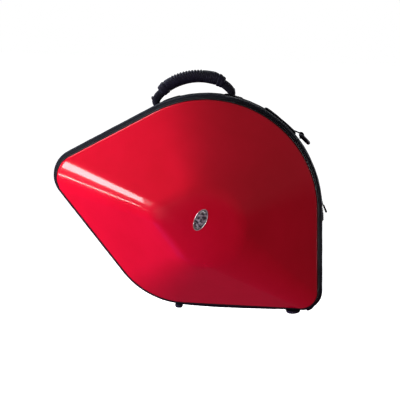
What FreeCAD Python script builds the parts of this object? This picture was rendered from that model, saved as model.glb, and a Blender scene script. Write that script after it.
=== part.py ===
import FreeCAD, Part
import math
import os
import Sketcher

# French horn case for a fixed-bell horn, standing on its feet.  Millimetres.
# X runs along the case, Y is its depth (the lid faces -Y), Z is up.
# The origin is on the floor, below the middle of the case.

DRIVING = {
    # bell centre: the middle of the large arc of the outline
    "bell_x": 36.4,
    "bell_z": 224.0,
    # directions that the outline's straight sides face, degrees from +X towards +Z
    "right_normal": 3.2,
    "upper_normal": 119.6,
    "lower_normal": 219.5,
    # shell rim outline; the distances are from the bell centre to a straight side
    "rim_bell": 243.5,
    "rim_lower": 227.5,
    "rim_bottom": 209.3,
    "rim_tip": 52.0,
    "rim_sweep": 178.0,
    "rim_corner": 36.0,
    # crest of the padded band, the same outline grown unevenly
    "crest_bell": 256.0,
    "crest_lower": 235.0,
    "crest_bottom": 216.8,
    "crest_tip": 60.0,
    "crest_sweep": 184.0,
    "crest_corner": 45.0,
    # round dome at the top of each shell; its centre lies beside the bell centre
    "dome_shift_x": 3.0,
    "dome_shift_z": -10.0,
    "dome_bell": 82.0,
    "dome_lower": 74.0,
    "dome_bottom": 82.0,
    "dome_tip": 30.0,
    "dome_sweep": 71.0,
    "dome_corner": 79.0,
    # small outline at the middle of the crown, about the same centre
    "crown_bell": 16.0,
    "crown_lower": 16.0,
    "crown_bottom": 16.0,
    "crown_tip": 12.0,
    "crown_sweep": 12.0,
    "crown_corner": 12.0,
    # depths from the closing plane
    "rim_depth": 34.0,
    "dome_depth": 160.0,
    "crown_rise": 8.0,
    "shell_wall": 3.0,
    # a margin across the sloping wall, for each millimetre of margin in depth
    "slope_factor": 1.3,
    "lining_wall": 2.5,
    "foam_gap": 0.5,
    "band_inner_depth": 8.0,
    "band_wall": 6.0,
    "crest_near": 13.0,
    "crest_far": 23.0,
    "piping_size": 2.0,
    # zip
    "chain_share": 0.72,
    "tooth_thick": 2.4,
    "tooth_gap": 0.6,
    "tooth_reach": 3.2,
    "tape_thick": 1.0,
    "slider_long": 15.0,
    "slider_wide": 9.2,
    "slider_plate": 1.2,
    "slider_clear": 0.4,
    "post_thick": 0.8,
    "bridge_rise": 3.4,
    "bridge_wide": 2.4,
    "pull_bar": 0.9,
    "pull_wide": 8.0,
    "pull_long": 24.0,
    "pull_thick": 1.8,
    "pull_end": 3.0,
    "upper_slider_z": 24.0,
    "lower_slider_z": 8.0,
    "pull_rest_angle": 19.0,
    # interior
    "cradle_near": 92.0,
    "cradle_far": 110.0,
    "bell_well": 112.0,
    "cushion_near": 104.0,
    "cushion_far": 116.0,
    "cushion_well": 96.0,
    "rest_x": -144.0,
    "rest_z": 205.0,
    "rest_long": 70.0,
    "rest_tall": 70.0,
    "rest_deep": 44.0,
    "groove_size": 11.0,
    "pad_long": 110.0,
    "pad_tall": 18.0,
    "pad_deep": 40.0,
    "strap_thick": 2.0,
    "strap_wide": 30.0,
    # hinge gusset
    "gusset_left": -16.0,
    "gusset_right": 232.0,
    "gusset_thick": 4.6,
    "hinge_z": 6.0,
    # feet
    "foot_left_x": -16.0,
    "foot_right_x": 236.0,
    "foot_left_size": 9.0,
    "foot_right_size": 15.0,
    "foot_depth": 24.0,
    "foot_bore": 2.2,
    "foot_sink": 4.6,
    "foot_sink_deep": 3.0,
    "screw_clear": 0.2,
    # handle
    "handle_angle": 97.5,
    "handle_spread": 18.0,
    "handle_depth": 19.0,
    "pivot_height": 24.0,
    "arch_rise": 36.5,
    "strap_web": 5.0,
    "web_wide": 25.0,
    "grip_size": 13.0,
    "grip_half": 29.0,
    "web_half": 36.0,
    "neck_half": 41.0,
    "neck_wide": 12.0,
    "bridge_tall": 5.0,
    "bridge_reach": 17.0,
    "pad_long_t": 20.0,
    "anchor_thick": 1.8,
    "collar_size": 14.5,
    "collar_sweep": 7.0,
    "leaf_size": 7.0,
    "leaf_thick": 2.5,
    "tongue_thick": 3.0,
    "rivet_size": 2.2,
    "running_gap": 0.3,
    # shoulder strap ring, its webbing tab and the sewn patch above it
    "ring_wire": 4.4,
    "ring_half": 11.5,
    "ring_leg": 12.0,
    "ring_depth": 21.0,
    "ring_angle": 40.0,
    "ring_lean": 43.0,
    "tab_wide": 12.0,
    "tab_wall": 2.4,
    "patch_sweep": 22.0,
    "patch_thick": 4.5,
    "patch_wide": 19.0,
    # fabric tab at the lower end of the zip
    "end_tab_x": 281.9,
    "end_tab_z": 13.1,
    "end_tab_long": 12.2,
    "end_tab_wide": 14.0,
    "end_tab_thick": 5.0,
    "end_tab_lean": 40.0,
    # badge
    "badge_half_long": 24.5,
    "badge_half_wide": 14.4,
    "badge_thick": 2.6,
    "badge_turn": 20.0,
    "badge_lift": 6.0,
}

OUTLINE_SIZES = ("bell", "lower", "bottom", "tip", "sweep", "corner")

doc = FreeCAD.newDocument("HornCase")
sizes = doc.addObject("Spreadsheet::Sheet", "Sizes")
for row, (alias, number) in enumerate(DRIVING.items(), start=1):
    sizes.set("A%d" % row, alias)
    sizes.set("B%d" % row, str(number))
    sizes.setAlias("B%d" % row, alias)
doc.recompute()

finished = []


def size(alias):
    return float(sizes.get(alias))


def bind(item, **expressions):
    """Bind properties of an object to expressions of the sheet."""
    for name, expression in expressions.items():
        item.setExpression(name, expression)


def finish(item, label):
    item.Label = label
    finished.append(item)
    return item


# ---------------------------------------------------------------- outlines

def mixed(key, level):
    """Expression of one outline size, between two named outlines, grown by a margin."""
    return "Sizes.%s_%s + (%s) * (Sizes.%s_%s - Sizes.%s_%s) + (%s)" % (
        level["start"], key, level["share"], level["toward"], key,
        level["start"], key, level["grow"])


def station(depth, share="0", toward="crest", grow="0", start="rim"):
    """One level of the case: its depth, and how its outline lies between two named outlines."""
    return {"depth": depth, "share": share, "toward": toward, "grow": grow, "start": start}


def centre_expressions(level):
    moved = {"crest": "0", "dome": level["share"], "crown": "1"}[level["toward"]]
    across = "Sizes.bell_x + (%s) * Sizes.dome_shift_x" % moved
    up = "Sizes.bell_z + (%s) * Sizes.dome_shift_z" % moved
    return across, up


def corner_centre(side_a, side_b, radius):
    """Centre of an arc of the radius that touches two sides, each (normal, distance)."""
    (angle_a, far_a), (angle_b, far_b) = side_a, side_b
    turn = math.sin(angle_b - angle_a)
    reach_a = far_a - radius
    reach_b = far_b - radius
    across = (reach_a * math.sin(angle_b) - reach_b * math.sin(angle_a)) / turn
    up = (reach_b * math.cos(angle_a) - reach_a * math.cos(angle_b)) / turn
    return across, up


def add_outline(sketch, level):
    """Draw the case outline: four arcs and four straight sides, all tangent."""
    value = {key: float(sketch.evalExpression(mixed(key, level))) for key in OUTLINE_SIZES}
    across, up = centre_expressions(level)
    bell = (float(sketch.evalExpression(across)), float(sketch.evalExpression(up)))
    normals = {
        "right": math.radians(size("right_normal")),
        "upper": math.radians(size("upper_normal")),
        "lower": math.radians(size("lower_normal")),
        "bottom": math.radians(270.0),
    }
    sides = {
        "right": (normals["right"], value["bell"]),
        "upper": (normals["upper"], value["bell"]),
        "lower": (normals["lower"], value["lower"]),
        "bottom": (normals["bottom"], value["bottom"]),
    }
    arcs = [("right", "upper", "bell"), ("upper", "lower", "tip"),
            ("lower", "bottom", "sweep"), ("bottom", "right", "corner")]

    ends = []
    for before, after, key in arcs:
        radius = value[key]
        centre = (0.0, 0.0)
        if key != "bell":
            centre = corner_centre(sides[before], sides[after], radius)
        centre = (bell[0] + centre[0], bell[1] + centre[1])
        start = normals[before]
        stop = normals[after]
        if stop < start:
            stop += 2 * math.pi
        ends.append((centre, radius, start, stop))

    first = sketch.GeometryCount
    for place, (centre, radius, start, stop) in enumerate(ends):
        circle = Part.Circle(FreeCAD.Vector(centre[0], centre[1], 0),
                             FreeCAD.Vector(0, 0, 1), radius)
        sketch.addGeometry(Part.ArcOfCircle(circle, start, stop), False)
        following = ends[(place + 1) % len(ends)]
        leave = FreeCAD.Vector(centre[0] + radius * math.cos(stop),
                               centre[1] + radius * math.sin(stop), 0)
        meet = FreeCAD.Vector(following[0][0] + following[1] * math.cos(stop),
                              following[0][1] + following[1] * math.sin(stop), 0)
        sketch.addGeometry(Part.LineSegment(leave, meet), False)

    count = 8
    for place in range(count):
        this = first + place
        after = first + (place + 1) % count
        sketch.addConstraint(Sketcher.Constraint("Tangent", this, 2, after, 1))

    def dimension(constraint, expression):
        number = sketch.addConstraint(constraint)
        sketch.setExpression("Constraints[%d]" % number, expression)

    dimension(Sketcher.Constraint("DistanceX", -1, 1, first, 3, bell[0]), across)
    dimension(Sketcher.Constraint("DistanceY", -1, 1, first, 3, bell[1]), up)
    for place, (_, _, key) in enumerate(arcs):
        dimension(Sketcher.Constraint("Radius", first + 2 * place, value[key]), mixed(key, level))
    for place, name in ((1, "upper"), (3, "lower")):
        dimension(Sketcher.Constraint("Angle", first + place, normals[name] + math.pi / 2),
                  "Sizes.%s_normal + 90" % name)
    dimension(Sketcher.Constraint("Angle", first + 7, normals["right"] + math.pi / 2),
              "Sizes.right_normal + 90")
    sketch.addConstraint(Sketcher.Constraint("Horizontal", first + 5))
    dimension(Sketcher.Constraint("Distance", first, 3, first + 3, value["lower"]),
              mixed("lower", level))
    dimension(Sketcher.Constraint("Distance", first, 3, first + 5, value["bottom"]),
              mixed("bottom", level))


def plane(body, role):
    return next(item for item in body.Origin.OriginFeatures if item.Role == role)


def depth_sketch(body, name, side, depth):
    """A sketch parallel to the closing plane; side is -1 for the lid and +1 for the base."""
    sketch = body.newObject("Sketcher::SketchObject", name)
    sketch.AttachmentSupport = [(plane(body, "XZ_Plane"), "")]
    sketch.MapMode = "FlatFace"
    sketch.setExpression("AttachmentOffset.Base.z", "%d * (%s)" % (-side, depth))
    return sketch


def outline_sketch(body, name, side, level):
    sketch = depth_sketch(body, name, side, level["depth"])
    add_outline(sketch, level)
    return sketch


def outline_loft(body, name, kind, side, levels):
    """Ruled loft through outlines at several depths."""
    sections = [outline_sketch(body, "%s_%d" % (name, place), side, level)
                for place, level in enumerate(levels)]
    loft = body.newObject(kind, name)
    loft.Profile = sections[0]
    loft.Sections = sections[1:]
    loft.Ruled = True
    doc.recompute()
    return loft


def circle_sketch(body, name, side, depth, radius, across, up):
    sketch = depth_sketch(body, name, side, depth)
    start = Part.Circle(FreeCAD.Vector(float(sketch.evalExpression(across)),
                                       float(sketch.evalExpression(up)), 0),
                        FreeCAD.Vector(0, 0, 1), float(sketch.evalExpression(radius)))
    sketch.addGeometry(start, False)
    for kind, expression in (("DistanceX", across), ("DistanceY", up)):
        number = sketch.addConstraint(Sketcher.Constraint(kind, -1, 1, 0, 3,
                                                          float(sketch.evalExpression(expression))))
        sketch.setExpression("Constraints[%d]" % number, expression)
    number = sketch.addConstraint(Sketcher.Constraint("Radius", 0, start.Radius))
    sketch.setExpression("Constraints[%d]" % number, radius)
    return sketch


def prism_ring(label, side, near, far, outer, inner):
    """Ring with straight walls between two outlines, from one depth to another."""
    body = doc.addObject("PartDesign::Body", label)
    sketch = depth_sketch(body, label + "_outline", side, near)
    add_outline(sketch, dict(outer, depth=near))
    add_outline(sketch, dict(inner, depth=near))
    pad = body.newObject("PartDesign::Pad", label + "_pad")
    pad.Profile = sketch
    pad.setExpression("Length", "(%s) - (%s)" % (far, near))
    pad.Reversed = side > 0
    doc.recompute()
    return finish(body, label)


# ---------------------------------------------------------------- primitives

def box(name, long_x, long_y, long_z, corner):
    """Box with its lowest corner at the point given."""
    item = doc.addObject("Part::Box", name)
    bind(item, Length=long_x, Width=long_y, Height=long_z)
    item.Placement.Base = FreeCAD.Vector(*corner)
    return item


def rod(name, radius, height, middle, direction):
    """Cylinder centred on a point, along a direction."""
    item = doc.addObject("Part::Cylinder", name)
    bind(item, Radius=radius, Height=height)
    doc.recompute()
    along = FreeCAD.Vector(*direction)
    turn = FreeCAD.Rotation(FreeCAD.Vector(0, 0, 1), along)
    start = FreeCAD.Vector(*middle) - along * (item.Height.Value / 2)
    item.Placement = FreeCAD.Placement(start, turn)
    return item


def fuse(name, items):
    item = doc.addObject("Part::MultiFuse", name)
    item.Shapes = items
    item.Refine = True
    return item


def cut(name, base, tool):
    item = doc.addObject("Part::Cut", name)
    item.Base = base
    item.Tool = tool
    return item


def facing(normal_degrees):
    """Turn that takes +X to the outward direction with that angle, seen from the lid's side."""
    return FreeCAD.Rotation(FreeCAD.Vector(0, -1, 0), normal_degrees)


def around_bell(normal_degrees, radius, depth=0.0):
    """Point at a radius and angle about the bell centre."""
    angle = math.radians(normal_degrees)
    return FreeCAD.Vector(size("bell_x") + radius * math.cos(angle), depth,
                          size("bell_z") + radius * math.sin(angle))


# ---------------------------------------------------------------- shells and skins

DOME_X = "Sizes.bell_x + Sizes.dome_shift_x"
DOME_Z = "Sizes.bell_z + Sizes.dome_shift_z"

# The crown is a round cap in flat-sided steps; each step is a share of the way to its middle.
CROWN_STEPS = (0.3, 0.6, 1.0)


def domed_skin(label, side, outside, inside):
    """Thin-walled shell: ruled slopes from an outline to the round dome, and a crowned top.

    outside and inside are the depths of its two faces below the shell's outer face.
    """
    body = doc.addObject("PartDesign::Body", label)
    for place, (margin, kind) in enumerate(((outside, "PartDesign::AdditiveLoft"),
                                            (inside, "PartDesign::SubtractiveLoft"))):
        shrink = "-Sizes.slope_factor * (%s)" % margin
        top = "Sizes.dome_depth - (%s)" % margin
        levels = [station("Sizes.rim_depth", grow=shrink),
                  station(top, share="1", toward="dome", grow=shrink)]
        for inward in CROWN_STEPS:
            rise = "(1 - (1 - 0.8 * %.1f) ^ 2) * Sizes.crown_rise" % inward
            levels.append(station("%s + %s" % (top, rise), share="%.1f" % inward,
                                  toward="crown", grow=shrink, start="dome"))
        outline_loft(body, "%s_%d" % (label, place), kind, side, levels)
    return finish(body, label)


def band(label, side):
    """Padded side wall: swells from the shell rim to a crest, then falls to the zip tape."""
    body = doc.addObject("PartDesign::Body", label)
    levels = [station("Sizes.band_inner_depth", share="0.9"),
              station("Sizes.crest_near", share="1"),
              station("Sizes.crest_far", share="1"),
              station("Sizes.rim_depth", share="0.1")]
    outline_loft(body, label + "_swell", "PartDesign::AdditiveLoft", side, levels)
    hollow = outline_sketch(body, label + "_hollow", side,
                            station("Sizes.band_inner_depth", grow="-Sizes.band_wall"))
    pocket = body.newObject("PartDesign::Pocket", label + "_pocket")
    pocket.Profile = hollow
    pocket.Type = "Length"
    pocket.setExpression("Length", "Sizes.rim_depth - Sizes.band_inner_depth + 1")
    pocket.Reversed = side < 0
    doc.recompute()
    return finish(body, label)


def foam_plate(label, side, near, far, well, across, up):
    """Foam insert that fills the shell between two depths, with a round well through it."""
    body = doc.addObject("PartDesign::Body", label)
    share = ("(%s - Sizes.rim_depth) / (Sizes.dome_depth - Sizes.rim_depth"
             " - Sizes.shell_wall - Sizes.lining_wall)")
    margin = "-Sizes.slope_factor * (Sizes.shell_wall + Sizes.lining_wall) - Sizes.foam_gap"
    levels = [station(depth, share=share % depth, toward="dome", grow=margin)
              for depth in (near, far)]
    outline_loft(body, label + "_block", "PartDesign::AdditiveLoft", side, levels)
    hole = circle_sketch(body, label + "_well", side, near, well, across, up)
    pocket = body.newObject("PartDesign::Pocket", label + "_pocket")
    pocket.Profile = hole
    pocket.Type = "Length"
    pocket.setExpression("Length", "%s - %s" % (far, near))
    pocket.Reversed = side < 0
    doc.recompute()
    return finish(body, label)


def open_ring(label, side, near, far, thick):
    """Half of the zip: a thin ring in the valley of the band, left open along the hinge."""
    chain = "Sizes.chain_share"
    ring = prism_ring(label + "_ring", side, near, far,
                      station("0", share=chain, grow="%s / 2" % thick),
                      station("0", share=chain, grow="-%s / 2" % thick))
    finished.remove(ring)
    gap = box(label + "_gap", "Sizes.gusset_right - Sizes.gusset_left + 2",
              "2 * Sizes.rim_depth", "4 * Sizes.gusset_thick",
              (size("gusset_left") - 1, -size("rim_depth"), 0))
    return finish(cut(label, ring, gap), label)


def feet(prefix, side):
    """Two rubber feet with countersunk screws, under one half of the case."""
    top = size("bell_z") - size("crest_bottom")
    screws = []
    for place in ("left", "right"):
        across = size("foot_%s_x" % place)
        depth = side * size("foot_depth")
        name = "%s_foot_%s" % (prefix, place)
        tall = "Sizes.bell_z - Sizes.crest_bottom"
        pad = rod(name + "_pad", "Sizes.foot_%s_size" % place, tall,
                  (across, depth, top / 2), (0, 0, 1))
        bore = rod(name + "_bore", "Sizes.foot_bore", tall, (across, depth, top / 2), (0, 0, 1))
        sink = rod(name + "_sink", "Sizes.foot_sink", "Sizes.foot_sink_deep",
                   (across, depth, size("foot_sink_deep") / 2), (0, 0, 1))
        finish(cut(name, pad, fuse(name + "_hole", [bore, sink])), name)
        head = rod(name + "_head", "Sizes.foot_sink - Sizes.screw_clear",
                   "Sizes.foot_sink_deep - 1",
                   (across, depth, size("foot_sink_deep") / 2 + 0.5), (0, 0, 1))
        shank = rod(name + "_shank", "Sizes.foot_bore - Sizes.screw_clear",
                    tall + " - Sizes.foot_sink_deep",
                    (across, depth, (top + size("foot_sink_deep")) / 2), (0, 0, 1))
        screws.append(fuse(name + "_screw", [head, shank]))
    group = doc.addObject("Part::Compound", prefix + "_foot_screws")
    group.Links = screws
    finish(group, prefix + "_foot_screws")


def half_case(side, prefix):
    """The pieces that both halves of the case share."""
    domed_skin(prefix + "_shell", side, "0", "Sizes.shell_wall")
    domed_skin(prefix + "_lining", side, "Sizes.shell_wall + 0.3",
               "Sizes.shell_wall + Sizes.lining_wall")
    band(prefix + "_band", side)
    prism_ring(prefix + "_edge_piping", side, "Sizes.rim_depth",
               "Sizes.rim_depth + Sizes.piping_size",
               station("0", grow="Sizes.piping_size + 0.2"), station("0", grow="0.2"))
    open_ring(prefix + "_zip_tape", side, "Sizes.tooth_reach", "Sizes.band_inner_depth",
              "Sizes.tape_thick")
    open_ring(prefix + "_zip_teeth", side, "Sizes.tooth_gap", "Sizes.tooth_reach",
              "Sizes.tooth_thick")
    gusset = box(prefix + "_gusset", "Sizes.gusset_right - Sizes.gusset_left",
                 "Sizes.band_inner_depth - Sizes.tooth_gap", "Sizes.gusset_thick",
                 (size("gusset_left"), size("tooth_gap"), size("hinge_z")))
    if side < 0:
        gusset.Placement.Base.y = -size("band_inner_depth")
    finish(gusset, prefix + "_gusset")
    feet(prefix, side)


half_case(1, "rear")
half_case(-1, "front")
foam_plate("bell_cradle", 1, "Sizes.cradle_near", "Sizes.cradle_far", "Sizes.bell_well",
           DOME_X, DOME_Z)
foam_plate("lid_cushion", -1, "Sizes.cushion_near", "Sizes.cushion_far", "Sizes.cushion_well",
           DOME_X, DOME_Z)


# ---------------------------------------------------------------- inside the base

def interior():
    """Foam blocks on the cradle that hold the horn's body, and the strap over the mouthpipe."""
    front = size("cradle_near") - size("rest_deep")
    block = box("rest_block", "Sizes.rest_long", "Sizes.rest_deep", "Sizes.rest_tall",
                (size("rest_x"), front, size("rest_z")))
    groove = rod("rest_groove", "Sizes.groove_size", "2 * Sizes.rest_long",
                 (size("rest_x") + size("rest_long") / 2, front,
                  size("rest_z") + size("rest_tall") / 2), (1, 0, 0))
    finish(cut("mouthpipe_rest", block, groove), "mouthpipe_rest")
    strap = box("retaining_strap", "Sizes.strap_wide", "Sizes.strap_thick",
                "Sizes.rest_tall - 6",
                (size("rest_x") + (size("rest_long") - size("strap_wide")) / 2,
                 front - size("strap_thick"), size("rest_z") + 3))
    finish(strap, "retaining_strap")
    middle_x = size("bell_x") + size("dome_shift_x")
    middle_z = size("bell_z") + size("dome_shift_z")
    well = size("bell_well")
    for label, low in (("valve_pad", middle_z - well - size("pad_tall") - 1),
                       ("crook_pad", middle_z + well + 1)):
        pad = box(label, "Sizes.pad_long", "Sizes.pad_deep", "Sizes.pad_tall",
                  (middle_x - size("pad_long") / 2,
                   size("cradle_near") - size("pad_deep"), low))
        finish(pad, label)


# ---------------------------------------------------------------- zip sliders

def slider(label, place):
    """Slider body that wraps both tooth rows.  Local X faces outwards, local Z runs along the zip."""
    half = size("slider_long") / 2
    wide = size("slider_wide") / 2
    plate = size("slider_plate")
    clear = size("slider_clear")
    tooth = size("tooth_thick") / 2
    top = tooth + clear
    tape = size("tape_thick") / 2 + clear
    flange = size("slider_wide") / 2 - size("tooth_reach") - size("running_gap")
    pieces = []
    for name, low in (("top", top), ("under", -top - plate)):
        pieces.append(box("%s_%s" % (label, name), "Sizes.slider_plate", "Sizes.slider_wide",
                          "Sizes.slider_long", (low, -wide, -half)))
    for name, low in (("top", tape), ("under", -top)):
        for row, start in (("near", -wide), ("far", wide - flange)):
            pieces.append(box("%s_%s_%s_flange" % (label, name, row),
                              "Sizes.tooth_thick / 2 - Sizes.tape_thick / 2",
                              "Sizes.slider_wide / 2 - Sizes.tooth_reach - Sizes.running_gap",
                              "Sizes.slider_long", (low, start, -half)))
    pieces.append(box(label + "_post", "Sizes.tooth_thick + 2 * Sizes.slider_clear + 0.4",
                      "Sizes.post_thick", "Sizes.slider_long / 3",
                      (-top - 0.2, -size("post_thick") / 2, -half / 3)))
    bridge = box(label + "_bridge", "Sizes.bridge_rise", "Sizes.bridge_wide",
                 "Sizes.slider_long * 0.6",
                 (top + plate - 0.2, -size("bridge_wide") / 2, -0.6 * half))
    window = box(label + "_window", "2 * Sizes.pull_bar + 2 * Sizes.running_gap",
                 "2 * Sizes.bridge_wide", "Sizes.slider_long * 0.4",
                 (top + plate, -size("bridge_wide"), -0.4 * half))
    pieces.append(cut(label + "_loop", bridge, window))
    body = finish(fuse(label, pieces), label)
    body.Placement = place
    return body


def pull(label, place):
    """Pull tab: a crossbar under the slider's bridge, two arms and a flat plate with a thick end."""
    bar = size("pull_bar")
    wide = size("pull_wide") / 2
    arm = wide - size("bridge_wide") / 2 - 0.8
    thick = size("pull_thick") / 2
    arm_long = size("pull_long") / 3
    pieces = [rod(label + "_bar", "Sizes.pull_bar", "Sizes.pull_wide", (0, 0, 0), (0, 1, 0))]
    for row, start in (("near", -wide), ("far", wide - arm)):
        pieces.append(box("%s_%s_arm" % (label, row), "Sizes.pull_thick",
                          "Sizes.pull_wide / 2 - Sizes.bridge_wide / 2 - 0.8",
                          "Sizes.pull_long / 3", (-thick, start, -arm_long)))
    pieces.append(box(label + "_plate", "Sizes.pull_thick", "Sizes.pull_wide",
                      "Sizes.pull_long * 2 / 3 - 2", (-thick, -wide, -size("pull_long") + 2)))
    end = box(label + "_end", "Sizes.pull_end", "Sizes.pull_wide", "Sizes.pull_long / 4",
              (-bar, -wide, -size("pull_long")))
    pieces.append(end)
    body = finish(fuse(label, pieces), label)
    body.Placement = place
    return body


def zip_sliders():
    chain = size("rim_bell") + size("chain_share") * (size("crest_bell") - size("rim_bell"))
    pivot = (size("tooth_thick") / 2 + size("slider_clear") + size("slider_plate")
             + size("running_gap") + size("pull_bar"))
    turned = math.degrees(math.asin(size("upper_slider_z") / chain))
    upper = FreeCAD.Placement(around_bell(turned, chain), facing(turned))
    slider("upper_slider", upper)
    lean = FreeCAD.Rotation(FreeCAD.Vector(0, -1, 0), size("pull_rest_angle"))
    raised = FreeCAD.Placement(FreeCAD.Vector(pivot, 0, 0), lean)
    pull("upper_pull", upper.multiply(raised))
    side_angle = math.radians(size("right_normal"))
    drop = (size("lower_slider_z") - chain * math.sin(side_angle)) / math.cos(side_angle)
    foot = around_bell(size("right_normal"), chain)
    foot += FreeCAD.Vector(-math.sin(side_angle), 0, math.cos(side_angle)) * drop
    lower = FreeCAD.Placement(foot, facing(size("right_normal")))
    slider("lower_slider", lower)
    pull("lower_pull", lower.multiply(FreeCAD.Placement(FreeCAD.Vector(pivot, 0, 0),
                                                        FreeCAD.Rotation())))
    for name, place in (("upper pull pivot", upper), ("lower pull pivot", lower)):
        print(name, [round(v, 3) for v in place.multVec(FreeCAD.Vector(pivot, 0, 0))])
    print("upper slider angle", round(turned, 3))


# ---------------------------------------------------------------- handle

def sector(name, inner, outer, wide, half_sweep, middle, place):
    """Part of a flat ring about the local Y axis, symmetric about a direction in degrees."""
    rings = []
    for kind, radius, width in (("outer", outer, wide), ("inner", inner, "2 * (%s)" % wide)):
        item = doc.addObject("Part::Cylinder", "%s_%s" % (name, kind))
        bind(item, Radius=radius, Height=width, Angle="2 * (%s)" % half_sweep)
        doc.recompute()
        local = FreeCAD.Placement(FreeCAD.Vector(0, item.Height.Value / 2, 0),
                                  FreeCAD.Rotation(FreeCAD.Vector(1, 0, 0), 90))
        start = FreeCAD.Placement(FreeCAD.Vector(),
                                  facing(middle - item.Angle.Value / 2))
        item.Placement = place.multiply(start).multiply(local)
        rings.append(item)
    rings[1].setExpression("Angle", None)
    rings[1].Angle = 360
    return cut(name, rings[0], rings[1])


def bent_tube(name, bend, radius, half_sweep, middle, place):
    """Part of a torus about the local Y axis, symmetric about a direction in degrees."""
    item = doc.addObject("Part::Torus", name)
    bind(item, Radius1=bend, Radius2=radius, Angle3="2 * (%s)" % half_sweep)
    doc.recompute()
    local = FreeCAD.Placement(FreeCAD.Vector(), FreeCAD.Rotation(FreeCAD.Vector(1, 0, 0), 90))
    start = FreeCAD.Placement(FreeCAD.Vector(), facing(middle - item.Angle3.Value / 2))
    item.Placement = place.multiply(start).multiply(local)
    return item


def in_frame(item, frame):
    item.Placement = frame.multiply(item.Placement)
    return item


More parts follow.
